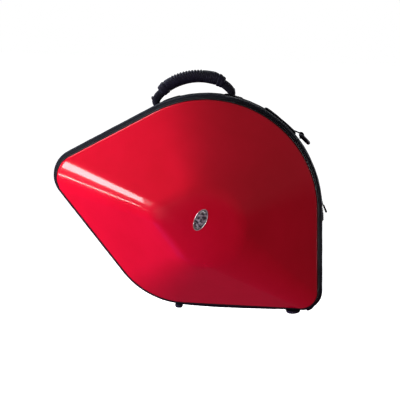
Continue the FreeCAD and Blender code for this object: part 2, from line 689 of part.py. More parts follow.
def handle():
    """Moulded grip on an arch of webbing.  Both ends are sewn forks that swing on rivets."""
    frame = FreeCAD.Placement(FreeCAD.Vector(size("bell_x"), size("handle_depth"),
                                             size("bell_z")), facing(size("handle_angle") - 90))
    reach = size("rim_bell") + size("pivot_height")
    spread = math.radians(size("handle_spread"))
    pivot_t = reach * math.sin(spread)
    pivot_v = reach * math.cos(spread)
    rise = size("arch_rise")
    bend = (pivot_t ** 2 + rise ** 2) / (2 * rise)
    sizes.set("D1", "arch_bend")
    sizes.set("E1", str(bend))
    sizes.setAlias("E1", "arch_bend")
    doc.recompute()
    arch = frame.multiply(FreeCAD.Placement(FreeCAD.Vector(0, 0, pivot_v + rise - bend),
                                            FreeCAD.Rotation()))
    inner = "Sizes.arch_bend - Sizes.strap_web / 2"
    outer = "Sizes.arch_bend + Sizes.strap_web / 2"
    web = sector("web", inner, outer, "Sizes.web_wide", "Sizes.web_half", 90, arch)
    neck = sector("neck", inner, outer, "Sizes.neck_wide", "Sizes.neck_half", 90, arch)

    gap = size("tongue_thick") / 2 + size("running_gap")
    leaf = size("leaf_thick")
    leaf_size = size("leaf_size")
    half_neck = size("neck_wide") / 2
    roof = pivot_v + leaf_size + 0.6
    pieces = [web, neck]
    holes = []
    rivets = []
    for name, side in (("left", -1), ("right", 1)):
        at = side * pivot_t
        far = at + side * (gap + leaf)
        near = far - side * size("bridge_reach")
        bridge = box("bridge_" + name, "Sizes.bridge_reach", "Sizes.neck_wide",
                     "Sizes.bridge_tall", (min(near, far), -half_neck, roof))
        pieces.append(in_frame(bridge, frame))
        for row, start in (("inner", at - side * gap), ("outer", at + side * gap)):
            out = -side if row == "inner" else side
            low = min(start, start + out * leaf)
            plate = box("leaf_%s_%s" % (name, row), "Sizes.leaf_thick", "Sizes.neck_wide",
                        "Sizes.leaf_size + Sizes.bridge_tall", (low, -half_neck, pivot_v))
            eye = rod("eye_%s_%s" % (name, row), "Sizes.leaf_size", "Sizes.leaf_thick",
                      (low + leaf / 2, 0, pivot_v), (1, 0, 0))
            pieces += [in_frame(plate, frame), in_frame(eye, frame)]
        hole = rod("hole_" + name, "Sizes.rivet_size + Sizes.running_gap", "20",
                   (at, 0, pivot_v), (1, 0, 0))
        holes.append(in_frame(hole, frame))

        pad_frame = FreeCAD.Placement(
            around_bell(size("handle_angle") - side * size("handle_spread"),
                        size("crest_bell") + 0.2, size("handle_depth")),
            facing(size("handle_angle") - side * size("handle_spread")))
        pad = box("anchor_pad_" + name, "Sizes.anchor_thick", "Sizes.web_wide - 1",
                  "Sizes.pad_long_t", (0, -size("web_wide") / 2 + 0.5, -size("pad_long_t") / 2))
        in_frame(pad, pad_frame)
        tongue = box("tongue_" + name, "Sizes.tongue_thick", "2 * Sizes.leaf_size - 1",
                     "Sizes.leaf_size + 3",
                     (at - size("tongue_thick") / 2, -leaf_size + 0.5, pivot_v - leaf_size - 3))
        round_end = rod("tongue_end_" + name, "Sizes.leaf_size - 0.5", "Sizes.tongue_thick",
                        (at, 0, pivot_v), (1, 0, 0))
        bore = rod("tongue_bore_" + name, "Sizes.rivet_size", "20", (at, 0, pivot_v), (1, 0, 0))
        parts = [in_frame(item, frame) for item in (tongue, round_end)]
        solid = fuse("anchor_solid_" + name, [pad] + parts)
        finish(cut("handle_anchor_" + name, solid, in_frame(bore, frame)),
               "handle_anchor_" + name)

        shank = rod("rivet_shank_" + name, "Sizes.rivet_size",
                    "Sizes.tongue_thick + 2 * Sizes.leaf_thick + 6 * Sizes.running_gap",
                    (at, 0, pivot_v), (1, 0, 0))
        set_off = gap + leaf + size("running_gap") + 0.6
        heads = [rod("rivet_head_%s_%d" % (name, way), "2 * Sizes.rivet_size", "1.2",
                     (at + way * set_off, 0, pivot_v), (1, 0, 0)) for way in (-1, 1)]
        rivets.append(fuse("rivet_" + name, [in_frame(item, frame) for item in [shank] + heads]))
    finish(cut("handle_strap", fuse("strap_solid", pieces), fuse("strap_holes", holes)),
           "handle_strap")
    group = doc.addObject("Part::Compound", "handle_rivets")
    group.Links = rivets
    finish(group, "handle_rivets")

    slot = sector("grip_slot", inner, outer, "Sizes.web_wide", "Sizes.web_half", 90, arch)
    grip = bent_tube("grip_tube", "Sizes.arch_bend", "Sizes.grip_size", "Sizes.grip_half", 90,
                     arch)
    finish(cut("handle_grip", grip, slot), "handle_grip")
    for name, side in (("left", 1), ("right", -1)):
        middle = 90 + side * (size("grip_half") + size("collar_sweep") / 2)
        tube = bent_tube("collar_tube_" + name, "Sizes.arch_bend", "Sizes.collar_size",
                         "Sizes.collar_sweep / 2", middle, arch)
        inside = sector("collar_slot_" + name, inner, outer, "Sizes.web_wide",
                        "Sizes.web_half", 90, arch)
        finish(cut("grip_collar_" + name, tube, inside), "grip_collar_" + name)
    middle = frame.multVec(FreeCAD.Vector(0, 0, pivot_v))
    print("handle pivot", [round(v, 3) for v in middle], "axis",
          [round(v, 4) for v in frame.Rotation.multVec(FreeCAD.Vector(1, 0, 0))])


# ---------------------------------------------------------------- ring, patch and end tab

def shoulder_ring():
    """Ring for a shoulder strap, held in a webbing loop below a sewn patch."""
    centre = FreeCAD.Placement(FreeCAD.Vector(size("bell_x"), size("ring_depth"),
                                              size("bell_z")), FreeCAD.Rotation())
    patch_middle = size("ring_angle") + 4 + size("patch_sweep") / 2
    patch = sector("shoulder_patch", "Sizes.crest_bell + 0.2",
                   "Sizes.crest_bell + 0.2 + Sizes.patch_thick", "Sizes.patch_wide",
                   "Sizes.patch_sweep / 2", patch_middle, centre)
    finish(patch, "shoulder_patch")

    wire = size("ring_wire")
    loop = wire + size("running_gap") + size("tab_wall")
    reach = size("crest_bell") + 0.4 + loop
    middle = around_bell(size("ring_angle"), reach, size("ring_depth"))
    place = FreeCAD.Placement(middle, facing(size("ring_angle")))
    sleeve = rod("tab_sleeve", "Sizes.ring_wire + Sizes.running_gap + Sizes.tab_wall",
                 "Sizes.tab_wide", (0, 0, 0), (0, 1, 0))
    tail = box("tab_tail", "Sizes.tab_wall", "Sizes.tab_wide", "14",
               (-loop + 0.2, -size("tab_wide") / 2, 0))
    eye = rod("tab_eye", "Sizes.ring_wire + Sizes.running_gap", "30", (0, 0, 0), (0, 1, 0))
    tab = finish(cut("ring_tab", fuse("tab_solid", [sleeve, tail]), eye), "ring_tab")
    tab.Placement = place

    half = size("ring_half")
    leg = size("ring_leg")
    pieces = [rod("ring_bar", "Sizes.ring_wire", "2 * Sizes.ring_half", (0, 0, 0), (0, 1, 0))]
    for name, depth in (("near", -half), ("far", half)):
        pieces.append(rod("ring_leg_" + name, "Sizes.ring_wire", "Sizes.ring_leg",
                          (leg / 2, depth, 0), (1, 0, 0)))
        corner = doc.addObject("Part::Sphere", "ring_corner_" + name)
        bind(corner, Radius="Sizes.ring_wire")
        corner.Placement.Base = FreeCAD.Vector(0, depth, 0)
        pieces.append(corner)
    bow = doc.addObject("Part::Torus", "ring_bow")
    bind(bow, Radius1="Sizes.ring_half", Radius2="Sizes.ring_wire")
    bow.Angle3 = 180
    bow.Placement = FreeCAD.Placement(FreeCAD.Vector(leg, 0, 0),
                                      FreeCAD.Rotation(FreeCAD.Vector(0, 0, 1), -90))
    pieces.append(bow)
    ring = finish(fuse("strap_ring", pieces), "strap_ring")
    ring.Placement = FreeCAD.Placement(middle, facing(-size("ring_lean")))
    print("ring pivot", [round(v, 3) for v in middle])


def end_tab():
    """Webbing tab to hold on to at the lower end of the zip."""
    tab = box("zip_end_tab", "Sizes.end_tab_thick", "Sizes.end_tab_wide", "Sizes.end_tab_long",
              (0, 0, -size("end_tab_long")))
    tab.Placement = FreeCAD.Placement(
        FreeCAD.Vector(size("end_tab_x"), size("tooth_gap"), size("end_tab_z")),
        facing(-size("end_tab_lean"))).multiply(tab.Placement)
    finish(tab, "zip_end_tab")


# ---------------------------------------------------------------- badge

def ellipse_plate(name, shrink, proud):
    """Oval plate on the dome, its long axis leaning to the right of upright."""
    item = doc.addObject("Part::Feature", name)
    outline = Part.Ellipse(FreeCAD.Vector(), size("badge_half_long") - shrink,
                           size("badge_half_wide") - shrink)
    face = Part.Face(Part.Wire([outline.toShape()]))
    item.Shape = face.extrude(FreeCAD.Vector(0, 0, proud + size("badge_thick")))
    upright = FreeCAD.Rotation(FreeCAD.Vector(1, 0, 0), 90)
    lean = FreeCAD.Rotation(FreeCAD.Vector(0, 1, 0), -90 + size("badge_turn"))
    back = size("dome_depth") + size("crown_rise") - size("badge_thick")
    middle = FreeCAD.Vector(size("bell_x") - 2.4, -back, size("bell_z") + size("badge_lift"))
    item.Placement = FreeCAD.Placement(middle, lean.multiply(upright))
    return item


def badge():
    """Generic oval badge: a raised bezel round a plain plate, both seated on the crown."""
    shell = doc.getObject("front_shell")
    rim = 2.0
    bezel = cut("bezel_ring", ellipse_plate("bezel_outer", 0.0, 2.0),
                ellipse_plate("bezel_inner", rim, 4.0))
    finish(cut("badge_bezel", bezel, shell), "badge_bezel")
    finish(cut("badge_plate", ellipse_plate("plate_solid", rim, 1.2), shell), "badge_plate")


interior()
zip_sliders()
handle()
shoulder_ring()
end_tab()
badge()
doc.recompute()


def check(item):
    trouble = {"Invalid", "Error"} & set(item.State)
    if trouble:
        raise RuntimeError("%s: %s" % (item.Label, ", ".join(sorted(trouble))))


for item in doc.Objects:
    check(item)
for item in finished:
    if item.Shape.isNull() or not item.Shape.isValid():
        raise RuntimeError("%s has no valid shape" % item.Label)

os.makedirs("parts", exist_ok=True)
for item in finished:
    item.Shape.exportStep(os.path.join("parts", item.Label + ".step"))
print(len(finished), "sub-parts written")
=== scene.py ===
import math

import bmesh
import bpy
import numpy as np
from mathutils import Matrix, Vector


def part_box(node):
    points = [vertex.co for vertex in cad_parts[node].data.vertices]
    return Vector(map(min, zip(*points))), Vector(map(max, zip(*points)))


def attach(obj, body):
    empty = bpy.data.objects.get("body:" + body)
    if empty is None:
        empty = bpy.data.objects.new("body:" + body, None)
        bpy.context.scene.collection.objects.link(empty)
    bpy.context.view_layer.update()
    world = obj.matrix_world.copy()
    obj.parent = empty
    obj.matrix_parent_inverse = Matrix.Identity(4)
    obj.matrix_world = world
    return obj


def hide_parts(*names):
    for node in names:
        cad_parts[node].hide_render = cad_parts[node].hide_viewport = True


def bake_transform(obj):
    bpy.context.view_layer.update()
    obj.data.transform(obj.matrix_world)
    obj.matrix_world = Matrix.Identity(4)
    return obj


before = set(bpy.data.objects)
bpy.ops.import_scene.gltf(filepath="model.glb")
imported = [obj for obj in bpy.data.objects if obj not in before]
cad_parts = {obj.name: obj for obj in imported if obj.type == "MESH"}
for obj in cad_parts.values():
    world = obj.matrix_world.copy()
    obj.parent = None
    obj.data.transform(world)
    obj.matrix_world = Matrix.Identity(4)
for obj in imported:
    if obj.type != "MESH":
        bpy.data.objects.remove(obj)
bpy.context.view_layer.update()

# French horn case, standing on its feet.  Lengths below are millimetres unless a name says
# metres; meshes are scaled to metres as they are made.  The lid faces -Y and Z is up.

MM = 0.001
BASE, LID = "case_base", "lid"

# ---------------------------------------------------------------- the outline of the case

BELL_CENTRE = np.array([36.4, 224.0])
DOME_CENTRE = BELL_CENTRE + np.array([3.0, -10.0])
NORMALS = {"right": 3.2, "upper": 119.6, "lower": 219.5, "bottom": 270.0}
KEYS = ("bell", "lower", "bottom", "tip", "sweep", "corner")
RIM = dict(zip(KEYS, (243.5, 227.5, 209.3, 52.0, 178.0, 36.0)))
CREST = dict(zip(KEYS, (256.0, 235.0, 216.8, 60.0, 184.0, 45.0)))
DOME = dict(zip(KEYS, (82.0, 74.0, 82.0, 30.0, 71.0, 79.0)))
RIM_DEPTH, DOME_DEPTH, CROWN_RISE = 34.0, 160.0, 8.0
CHAIN_SHARE = 0.72
SHOULDER = 17.0    # how far the rounding at the dome's edge runs down the slope
GUSSET_LEFT, GUSSET_RIGHT = -16.0, 232.0

# samples on each arc and on the straight side that follows it
SAMPLES = {"bell": (104, 22), "tip": (40, 28), "sweep": (48, 44), "corner": (32, 22)}
ARCS = (("right", "upper", "bell"), ("upper", "lower", "tip"),
        ("lower", "bottom", "sweep"), ("bottom", "right", "corner"))


def sizes_at(share, grow=0.0):
    """Outline sizes between the shell rim (share 0) and the band's crest (share 1)."""
    return {key: RIM[key] + share * (CREST[key] - RIM[key]) + grow for key in KEYS}


def grown(sizes, grow):
    return {key: sizes[key] + grow for key in KEYS}


def corner_centre(side_a, side_b, radius):
    """Centre of an arc that touches two straight sides, each (normal angle, distance)."""
    (angle_a, far_a), (angle_b, far_b) = side_a, side_b
    turn = math.sin(angle_b - angle_a)
    reach_a, reach_b = far_a - radius, far_b - radius
    return np.array([(reach_a * math.sin(angle_b) - reach_b * math.sin(angle_a)) / turn,
                     (reach_b * math.cos(angle_a) - reach_a * math.cos(angle_b)) / turn])


def outline(sizes, centre=BELL_CENTRE, fine=1):
    """Points (x, z) round the case and the outward direction at each, in radians."""
    sides = {name: (math.radians(angle), sizes["bell" if name in ("right", "upper") else name])
             for name, angle in NORMALS.items()}
    arcs = []
    for before, after, key in ARCS:
        middle = np.zeros(2)
        if key != "bell":
            middle = corner_centre(sides[before], sides[after], sizes[key])
        start, stop = sides[before][0], sides[after][0]
        if stop < start:
            stop += 2 * math.pi
        arcs.append((middle + centre, sizes[key], start, stop, key))
    points, directions = [], []
    for place, (middle, radius, start, stop, key) in enumerate(arcs):
        around, along = (fine * count for count in SAMPLES[key])
        for step in range(around):
            angle = start + (stop - start) * step / around
            points.append(middle + radius * np.array([math.cos(angle), math.sin(angle)]))
            directions.append(angle)
        following = arcs[(place + 1) % len(arcs)]
        way = np.array([math.cos(stop), math.sin(stop)])
        leave, meet = middle + radius * way, following[0] + following[1] * way
        for step in range(along):
            points.append(leave + (meet - leave) * step / along)
            directions.append(stop)
    return np.array(points), np.array(directions)


def lengths_along(points):
    """Distance travelled at each point of a path."""
    return np.concatenate([[0], np.cumsum(np.linalg.norm(np.diff(points, axis=0), axis=1))])


def headings(path, closed=False):
    """Unit direction of travel at each point of a path."""
    if closed:
        ahead = np.roll(path, -1, axis=0) - np.roll(path, 1, axis=0)
    else:
        ahead = np.gradient(path, axis=0)
    return ahead / np.linalg.norm(ahead, axis=1)[:, None]


def full_turn(count):
    """Even angles all the way round."""
    return np.linspace(0, 2 * math.pi, count, endpoint=False)


def round_bell(radius, angles):
    """Points (x, z) at a distance from the bell's centre, one for each angle."""
    return np.stack([BELL_CENTRE[0] + radius * np.cos(angles),
                     BELL_CENTRE[1] + radius * np.sin(angles)], axis=-1)


def walk(sizes, pitch, keep=None, offset=0.0):
    """Points at even distances round an outline, with the outward direction at each."""
    points, directions = outline(sizes, fine=3)
    closed = np.vstack([points, points[:1]])
    turned = np.append(directions, directions[0] + 2 * math.pi)
    along = lengths_along(closed)
    count = int(round(along[-1] / pitch))
    stops = (np.arange(count) + offset) * along[-1] / count
    at = np.column_stack([np.interp(stops, along, closed[:, axis]) for axis in (0, 1)])
    angles = np.interp(stops, along, turned)
    if keep is not None:
        chosen = keep(at)
        at, angles = at[chosen], angles[chosen]
    return at, angles


def outside_gusset(points):
    return ~((points[:, 1] < 30) & (points[:, 0] > GUSSET_LEFT) & (points[:, 0] < GUSSET_RIGHT))


def at_depth(points, depth, side):
    """Outline points put at a depth from the closing plane; side is -1 for the lid."""
    depth = np.broadcast_to(depth, len(points))
    return np.column_stack([points[:, 0], side * depth, points[:, 1]])


# ---------------------------------------------------------------- making meshes

def linked(name, data):
    """Object for a mesh, light or camera, put in the scene."""
    made = bpy.data.objects.new(name, data)
    bpy.context.scene.collection.objects.link(made)
    return made


def built(name, work):
    """Object from a finished bmesh."""
    mesh = bpy.data.meshes.new(name)
    work.to_mesh(mesh)
    work.free()
    return linked(name, mesh)


def new_object(name, verts, faces, uvs=None, sharp=None):
    """Mesh object from millimetre points, smooth shaded, normals outwards, UVs in metres."""
    mesh = bpy.data.meshes.new(name)
    mesh.from_pydata((np.asarray(verts, float) * MM).tolist(), [], faces)
    if uvs is not None:
        layer = mesh.uv_layers.new(name="UVMap")
        layer.data.foreach_set("uv", (np.asarray(uvs, float) * MM).ravel())
    work = bmesh.new()
    work.from_mesh(mesh)
    bmesh.ops.recalc_face_normals(work, faces=work.faces)
    work.to_mesh(mesh)
    work.free()
    mesh.shade_smooth()
    if sharp is not None:
        mesh.set_sharp_from_angle(angle=math.radians(sharp))
    return linked(name, mesh)


def grid(name, rows, wrap_rows=False, wrap_columns=False, caps=(False, False), sharp=None):
    """Surface through rows of points (rows, columns, 3), closed along either way if asked."""
    rows = np.asarray(rows, float)
    down, across = rows.shape[:2]
    verts = rows.reshape(-1, 3).tolist()
    steps_v = np.linalg.norm(np.diff(np.concatenate([rows, rows[:1]]), axis=0), axis=2).mean(1)
    steps_u = np.linalg.norm(np.diff(np.concatenate([rows, rows[:, :1]], axis=1), axis=1),
                             axis=2).mean(0)
    v_at = np.concatenate([[0], np.cumsum(steps_v)])
    u_at = np.concatenate([[0], np.cumsum(steps_u)])
    faces, uvs = [], []
    for r in range(down if wrap_rows else down - 1):
        below = (r + 1) % down
        for c in range(across if wrap_columns else across - 1):
            beside = (c + 1) % across
            faces.append((r * across + c, r * across + beside,
                          below * across + beside, below * across + c))
            uvs += [(u_at[c], v_at[r]), (u_at[c + 1], v_at[r]),
                    (u_at[c + 1], v_at[r + 1]), (u_at[c], v_at[r + 1])]
    for wanted, row in zip(caps, (0, down - 1)):
        if not wanted:
            continue
        centre = len(verts)
        verts.append(rows[row].mean(0).tolist())
        for c in range(across if wrap_columns else across - 1):
            faces.append((centre, row * across + c, row * across + (c + 1) % across))
            uvs += [(u_at[c], v_at[row] + 1), (u_at[c], v_at[row]), (u_at[c + 1], v_at[row])]
    return new_object(name, verts, faces, uvs, sharp)


def loft(name, rows, sharp=None):
    """Closed sections in a row, capped at both ends."""
    return grid(name, rows, wrap_columns=True, caps=(True, True), sharp=sharp)


def hoop(name, rows, sharp=None):
    """Closed sections that come round to the first again."""
    return grid(name, rows, wrap_rows=True, wrap_columns=True, sharp=sharp)


def scatter(name, template, frames, sharp=None):
    """One mesh holding a copy of the template (points, faces) at each frame (origin, 3 axes)."""
    points, faces = template
    verts, all_faces = [], []
    for place, (origin, axes) in enumerate(frames):
        verts.append(np.asarray(origin) + points @ np.asarray(axes))
        all_faces += [tuple(place * len(points) + v for v in face) for face in faces]
    return new_object(name, np.vstack(verts), all_faces, sharp=sharp)


def pod(long, wide, tall, sides=8, rings=5):
    """Rounded bar along its own first axis, for stitches and zip teeth."""
    points = [(-long / 2, 0, 0)]
    for ring in range(rings):
        turn = math.pi * (ring + 1) / (rings + 1)
        along = -math.cos(turn)
        swell = math.sin(turn) ** 0.6
        for side in range(sides):
            angle = 2 * math.pi * side / sides
            points.append((along * long / 2, math.cos(angle) * swell * wide / 2,
                           math.sin(angle) * swell * tall / 2))
    points.append((long / 2, 0, 0))
    faces = []
    for side in range(sides):
        after = (side + 1) % sides
        faces.append((0, 1 + after, 1 + side))
        for ring in range(rings - 1):
            a = 1 + ring * sides
            faces.append((a + side, a + after, a + sides + after, a + sides + side))
        last = 1 + (rings - 1) * sides
        faces.append((last + side, last + after, len(points) - 1))
    return np.array(points), faces


def axes_at(angle):
    """Axes (along, across, outwards) of a point on an outline: along it, over its depth, out."""
    return np.array([[-math.sin(angle), 0, math.cos(angle)], [0, 1, 0],
                     [math.cos(angle), 0, math.sin(angle)]])


def rounded_section(wide, tall, power=4.0, count=28):
    """Closed section of a strap or bar: a rectangle with rounded edges, (across, out)."""
    turns = full_turn(count)
    c, s = np.cos(turns), np.sin(turns)
    return np.column_stack([np.sign(c) * np.abs(c) ** (2 / power) * wide / 2,
                            np.sign(s) * np.abs(s) ** (2 / power) * tall / 2])


def engrave(section, places, depth, width):
    """Press a soft channel into both faces of a section at each place across it."""
    for place in places:
        dip = depth * np.exp(-((section[:, 0] - place) / width) ** 2)
        section[:, 1] -= np.sign(section[:, 1]) * dip


def frames_along(points, angles, y, turned=np.eye(3)):
    """Frames at points (x, z) at one y; the axes may be turned among themselves."""
    return [((x, y, z), turned @ axes_at(angle)) for (x, z), angle in zip(points, angles)]


def in_mm(box):
    return [np.array(corner) / MM for corner in box]


def smooth_path(points, count):
    """Even points on a smooth curve through a few given (x, z) points."""
    points = np.asarray(points, float)
    knots = lengths_along(points)
    slopes = np.gradient(points, knots, axis=0)
    at = np.linspace(0, knots[-1], count)
    place = np.clip(np.searchsorted(knots, at, side="right") - 1, 0, len(knots) - 2)
    span = (knots[place + 1] - knots[place])[:, None]
    t = ((at - knots[place])[:, None]) / span
    return ((2 * t ** 3 - 3 * t ** 2 + 1) * points[place]
            + (t ** 3 - 2 * t ** 2 + t) * span * slopes[place]
            + (-2 * t ** 3 + 3 * t ** 2) * points[place + 1]
            + (t ** 3 - t ** 2) * span * slopes[place + 1])


def planar_sweep(name, path, middle_y, sections, sharp=None):
    """Sweep along an (x, z) path; each section is (across Y, out), out is left of the path."""
    path = np.asarray(path, float)
    ahead = headings(path)
    out = np.column_stack([-ahead[:, 1], ahead[:, 0]])
    sections = np.asarray(sections, float)
    if sections.ndim == 2:
        sections = np.repeat(sections[None], len(path), axis=0)
    rows = np.empty((len(path), sections.shape[1], 3))
    rows[..., 0] = path[:, None, 0] + out[:, None, 0] * sections[..., 1]
    rows[..., 1] = middle_y + sections[..., 0]
    rows[..., 2] = path[:, None, 1] + out[:, None, 1] * sections[..., 1]
    return loft(name, rows, sharp)


def lathe(name, profile, origin, axis=(0, 0, 1), sides=40, sharp=None):
    """Turned piece: profile is (radius, height) from one end of the axis to the other."""
    turn = Vector((0, 0, 1)).rotation_difference(Vector(axis))
    rows = []
    for radius, height in profile:
        ring = [turn @ Vector((radius * math.cos(a), radius * math.sin(a), height))
                for a in full_turn(sides)]
        rows.append([tuple(np.array(origin) + np.array(p)) for p in ring])
    return loft(name, rows, sharp)


def tube(name, path, radius, sides=16, closed=False):
    """Round wire along points in space."""
    path = np.asarray(path, float)
    plane = np.linalg.svd(path - path.mean(0))[2][2]
    rows = []
    for point, way in zip(path, headings(path, closed)):
        second = np.cross(way, plane)
        second /= np.linalg.norm(second)
        rows.append([point + radius * (math.cos(a) * plane + math.sin(a) * second)
                     for a in full_turn(sides)])
    return hoop(name, rows) if closed else loft(name, rows)


def bevelled_boxes(name, boxes, round_by, place):
    """Several rounded boxes in one mesh; each is (lowest corner, highest corner)."""
    work = bmesh.new()
    for low, high in boxes:
        low, high = Vector(low), Vector(high)
        made = bmesh.ops.create_cube(work, size=1.0)["verts"]
        bmesh.ops.scale(work, vec=high - low, verts=made)
        bmesh.ops.translate(work, vec=(low + high) / 2, verts=made)
        edges = list({edge for vert in made for edge in vert.link_edges})
        bmesh.ops.bevel(work, geom=edges, offset=min(round_by, min(high - low) * 0.45),
                        segments=3, profile=0.6, affect="EDGES")
    bmesh.ops.transform(work, matrix=place, verts=work.verts)
    bmesh.ops.scale(work, vec=(MM, MM, MM), verts=work.verts)
    made = built(name, work)
    made.data.shade_smooth()
    made.data.set_sharp_from_angle(angle=math.radians(50))
    return made


def join(name, items):
    """One object from several."""
    work = bmesh.new()
    for item in items:
        part = item.data.copy()
        part.transform(item.matrix_world)
        work.from_mesh(part)
        bpy.data.meshes.remove(part)
    for item in items:
        bpy.data.objects.remove(item)
    return built(name, work)


def ripple(along, *waves):
    """Gentle unevenness: a sum of sines, each (wavelength, size)."""
    return sum(size * np.sin(2 * math.pi * along / wave + 1.7 * place)
               for place, (wave, size) in enumerate(waves))


# ---------------------------------------------------------------- materials

def node(tree, kind, settings=None, **inputs):
    made = tree.nodes.new(kind)
    for name, value in (settings or {}).items():
        setattr(made, name, value)
    for name, value in inputs.items():
        socket = made.inputs[int(name[1:])] if name[0] == "i" and name[1:].isdigit() \
            else made.inputs[name.replace("_", " ")]
        if isinstance(value, bpy.types.NodeSocket):
            tree.links.new(value, socket)
        else:
            socket.default_value = value
    return made


def start_material(name, **constants):
    """A material with a Principled shader whose constants are set on its own sockets."""
    made = bpy.data.materials.new(name)
    made.use_nodes = True
    tree = made.node_tree
    shader = tree.nodes["Principled BSDF"]
    for key, value in constants.items():
        shader.inputs[key.replace("_", " ")].default_value = value
    return made, tree, shader


def coordinates(tree, kind):
    return node(tree, "ShaderNodeTexCoord").outputs[kind]


def noise(tree, where, scale, detail=4.0, roughness=0.55):
    return node(tree, "ShaderNodeTexNoise", Vector=where, Scale=scale, Detail=detail,
                Roughness=roughness).outputs["Fac"]


def ramp(tree, value, low, high, start=0.35, stop=0.65):
    made = node(tree, "ShaderNodeValToRGB", Fac=value)
    for element, place, colour in zip(made.color_ramp.elements, (start, stop), (low, high)):
        element.position, element.color = place, (*colour, 1)
    return made.outputs["Color"]


def span(tree, value, low, high):
    """Map 0..1 to low..high."""
    return node(tree, "ShaderNodeMapRange", Value=value, To_Min=low, To_Max=high).outputs["Result"]


def bump(tree, shader, height, distance, strength=1.0):
    made = node(tree, "ShaderNodeBump", Height=height, Distance=distance, Strength=strength)
    tree.links.new(made.outputs["Normal"], shader.inputs["Normal"])


def math_node(tree, operation, first, second):
    return node(tree, "ShaderNodeMath", {"operation": operation}, i0=first, i1=second).outputs[0]


def weighted(tree, first, first_share, second, second_share):
    """Sum of two values, each times its share."""
    return math_node(tree, "ADD", math_node(tree, "MULTIPLY", first, first_share),
                     math_node(tree, "MULTIPLY", second, second_share))


def brushed_noise(tree, where, stretch, detail):
    """Noise drawn out into fine parallel marks."""
    mapped = node(tree, "ShaderNodeMapping", Vector=where, Scale=stretch).outputs["Vector"]
    return noise(tree, mapped, 1.0, detail)


def mixed_colour(tree, share, first, second):
    return node(tree, "ShaderNodeMix", {"data_type": "RGBA"}, i0=share, i6=first,
                i7=(*second, 1)).outputs[2]


def surface(tree, shader, colour, roughness):
    """Connect a colour and a roughness to the shader."""
    tree.links.new(colour, shader.inputs["Base Color"])
    tree.links.new(roughness, shader.inputs["Roughness"])


WAVE_SCALE = 0.314    # a wave texture of scale 1 repeats every 0.314 of a unit


def threads(tree, where, way, repeat, **extra):
    """Parallel threads one after another along one way; repeat is in metres."""
    return node(tree, "ShaderNodeTexWave", {"wave_type": "BANDS", "bands_direction": way},
                Vector=where, Scale=WAVE_SCALE / repeat, **extra).outputs["Fac"]


def fabric(name, dark, light, thread, coords="UV", rough=(0.55, 0.8), depth=0.00025, sheen=0.015):
    """Woven cloth with visible threads, uneven dye and a little lint."""
    made, tree, shader = start_material(name, Sheen_Weight=sheen, Sheen_Roughness=0.45,
                                        Specular_IOR_Level=0.12)
    where = coordinates(tree, coords)
    crossed = math_node(tree, "MULTIPLY", *(threads(tree, where, way, thread, Distortion=0.6,
                                                    Detail=1.0) for way in "XY"))
    clouds = noise(tree, coordinates(tree, "Object"), 38.0, 5.0)
    mixed = weighted(tree, crossed, 0.6, clouds, 0.5)
    surface(tree, shader, ramp(tree, mixed, dark, light, 0.2, 0.8), span(tree, mixed, *rough))
    bump(tree, shader, crossed, depth)
    return made


def webbing_material():
    """Ribbed strap webbing: strong cross ribs over fine lengthwise threads."""
    made, tree, shader = start_material("webbing_weave", Sheen_Weight=0.015, Sheen_Roughness=0.4,
                                        Specular_IOR_Level=0.1)
    where = coordinates(tree, "UV")
    ribs = threads(tree, where, "Y", 0.0016, Distortion=1.2, Detail=2.0, Detail_Scale=2.0)
    fine = threads(tree, where, "X", 0.0008)
    height = math_node(tree, "ADD", ribs, math_node(tree, "MULTIPLY", fine, 0.35))
    surface(tree, shader, ramp(tree, height, (0.002, 0.002, 0.006), (0.013, 0.013, 0.024), 0.2,
                               1.0), span(tree, ribs, 0.5, 0.75))
    bump(tree, shader, height, 0.00045)
    return made


def gelcoat():
    """Deep glossy red: a faint mottle in the pigment, orange peel and hairline polishing marks."""
    made, tree, shader = start_material("red_gloss_gelcoat", Coat_Weight=0.4, Coat_Roughness=0.03,
                                        Coat_IOR=1.4, Specular_IOR_Level=0.1)
    where = coordinates(tree, "Object")
    mottle = noise(tree, where, 9.0, 6.0)
    hairlines = brushed_noise(tree, where, (60, 4, 900), 3.0)
    surface(tree, shader, ramp(tree, mottle, (0.50, 0.0018, 0.0150), (0.57, 0.0024, 0.0200), 0.3,
                               0.7), span(tree, hairlines, 0.16, 0.27))
    peel = noise(tree, where, 170.0, 2.0)
    bump(tree, shader, peel, 0.00003, 0.35)
    return made


def rubber(name, dark, light, grain, rough=(0.5, 0.72), specular=0.12):
    """Moulded rubber: fine grain, dull patches and paler dust in random patches."""
    made, tree, shader = start_material(name, Specular_IOR_Level=specular)
    where = coordinates(tree, "Object")
    fine = noise(tree, where, grain, 3.0)
    dust = noise(tree, where, 60.0, 6.0, 0.65)
    mixed = weighted(tree, fine, 0.4, dust, 0.6)
    surface(tree, shader, ramp(tree, mixed, dark, light, 0.35, 0.75), span(tree, dust, *rough))
    bump(tree, shader, fine, 0.00012)
    return made


def metal(name, dark, light, rough, wear_colour=None):
    """Metal with brushed grain; painted metal shows paler rubbed spots."""
    made, tree, shader = start_material(name, Metallic=0.9)
    where = coordinates(tree, "Object")
    brushed = brushed_noise(tree, where, (900, 900, 90), 4.0)
    colour = ramp(tree, brushed, dark, light)
    if wear_colour is not None:
        spots = noise(tree, where, 420.0, 5.0, 0.7)
        mask = ramp(tree, spots, (0, 0, 0), (1, 1, 1), 0.62, 0.7)
        colour = mixed_colour(tree, mask, colour, wear_colour)
    surface(tree, shader, colour, span(tree, brushed, *rough))
    bump(tree, shader, brushed, 0.00002, 0.6)
    return made


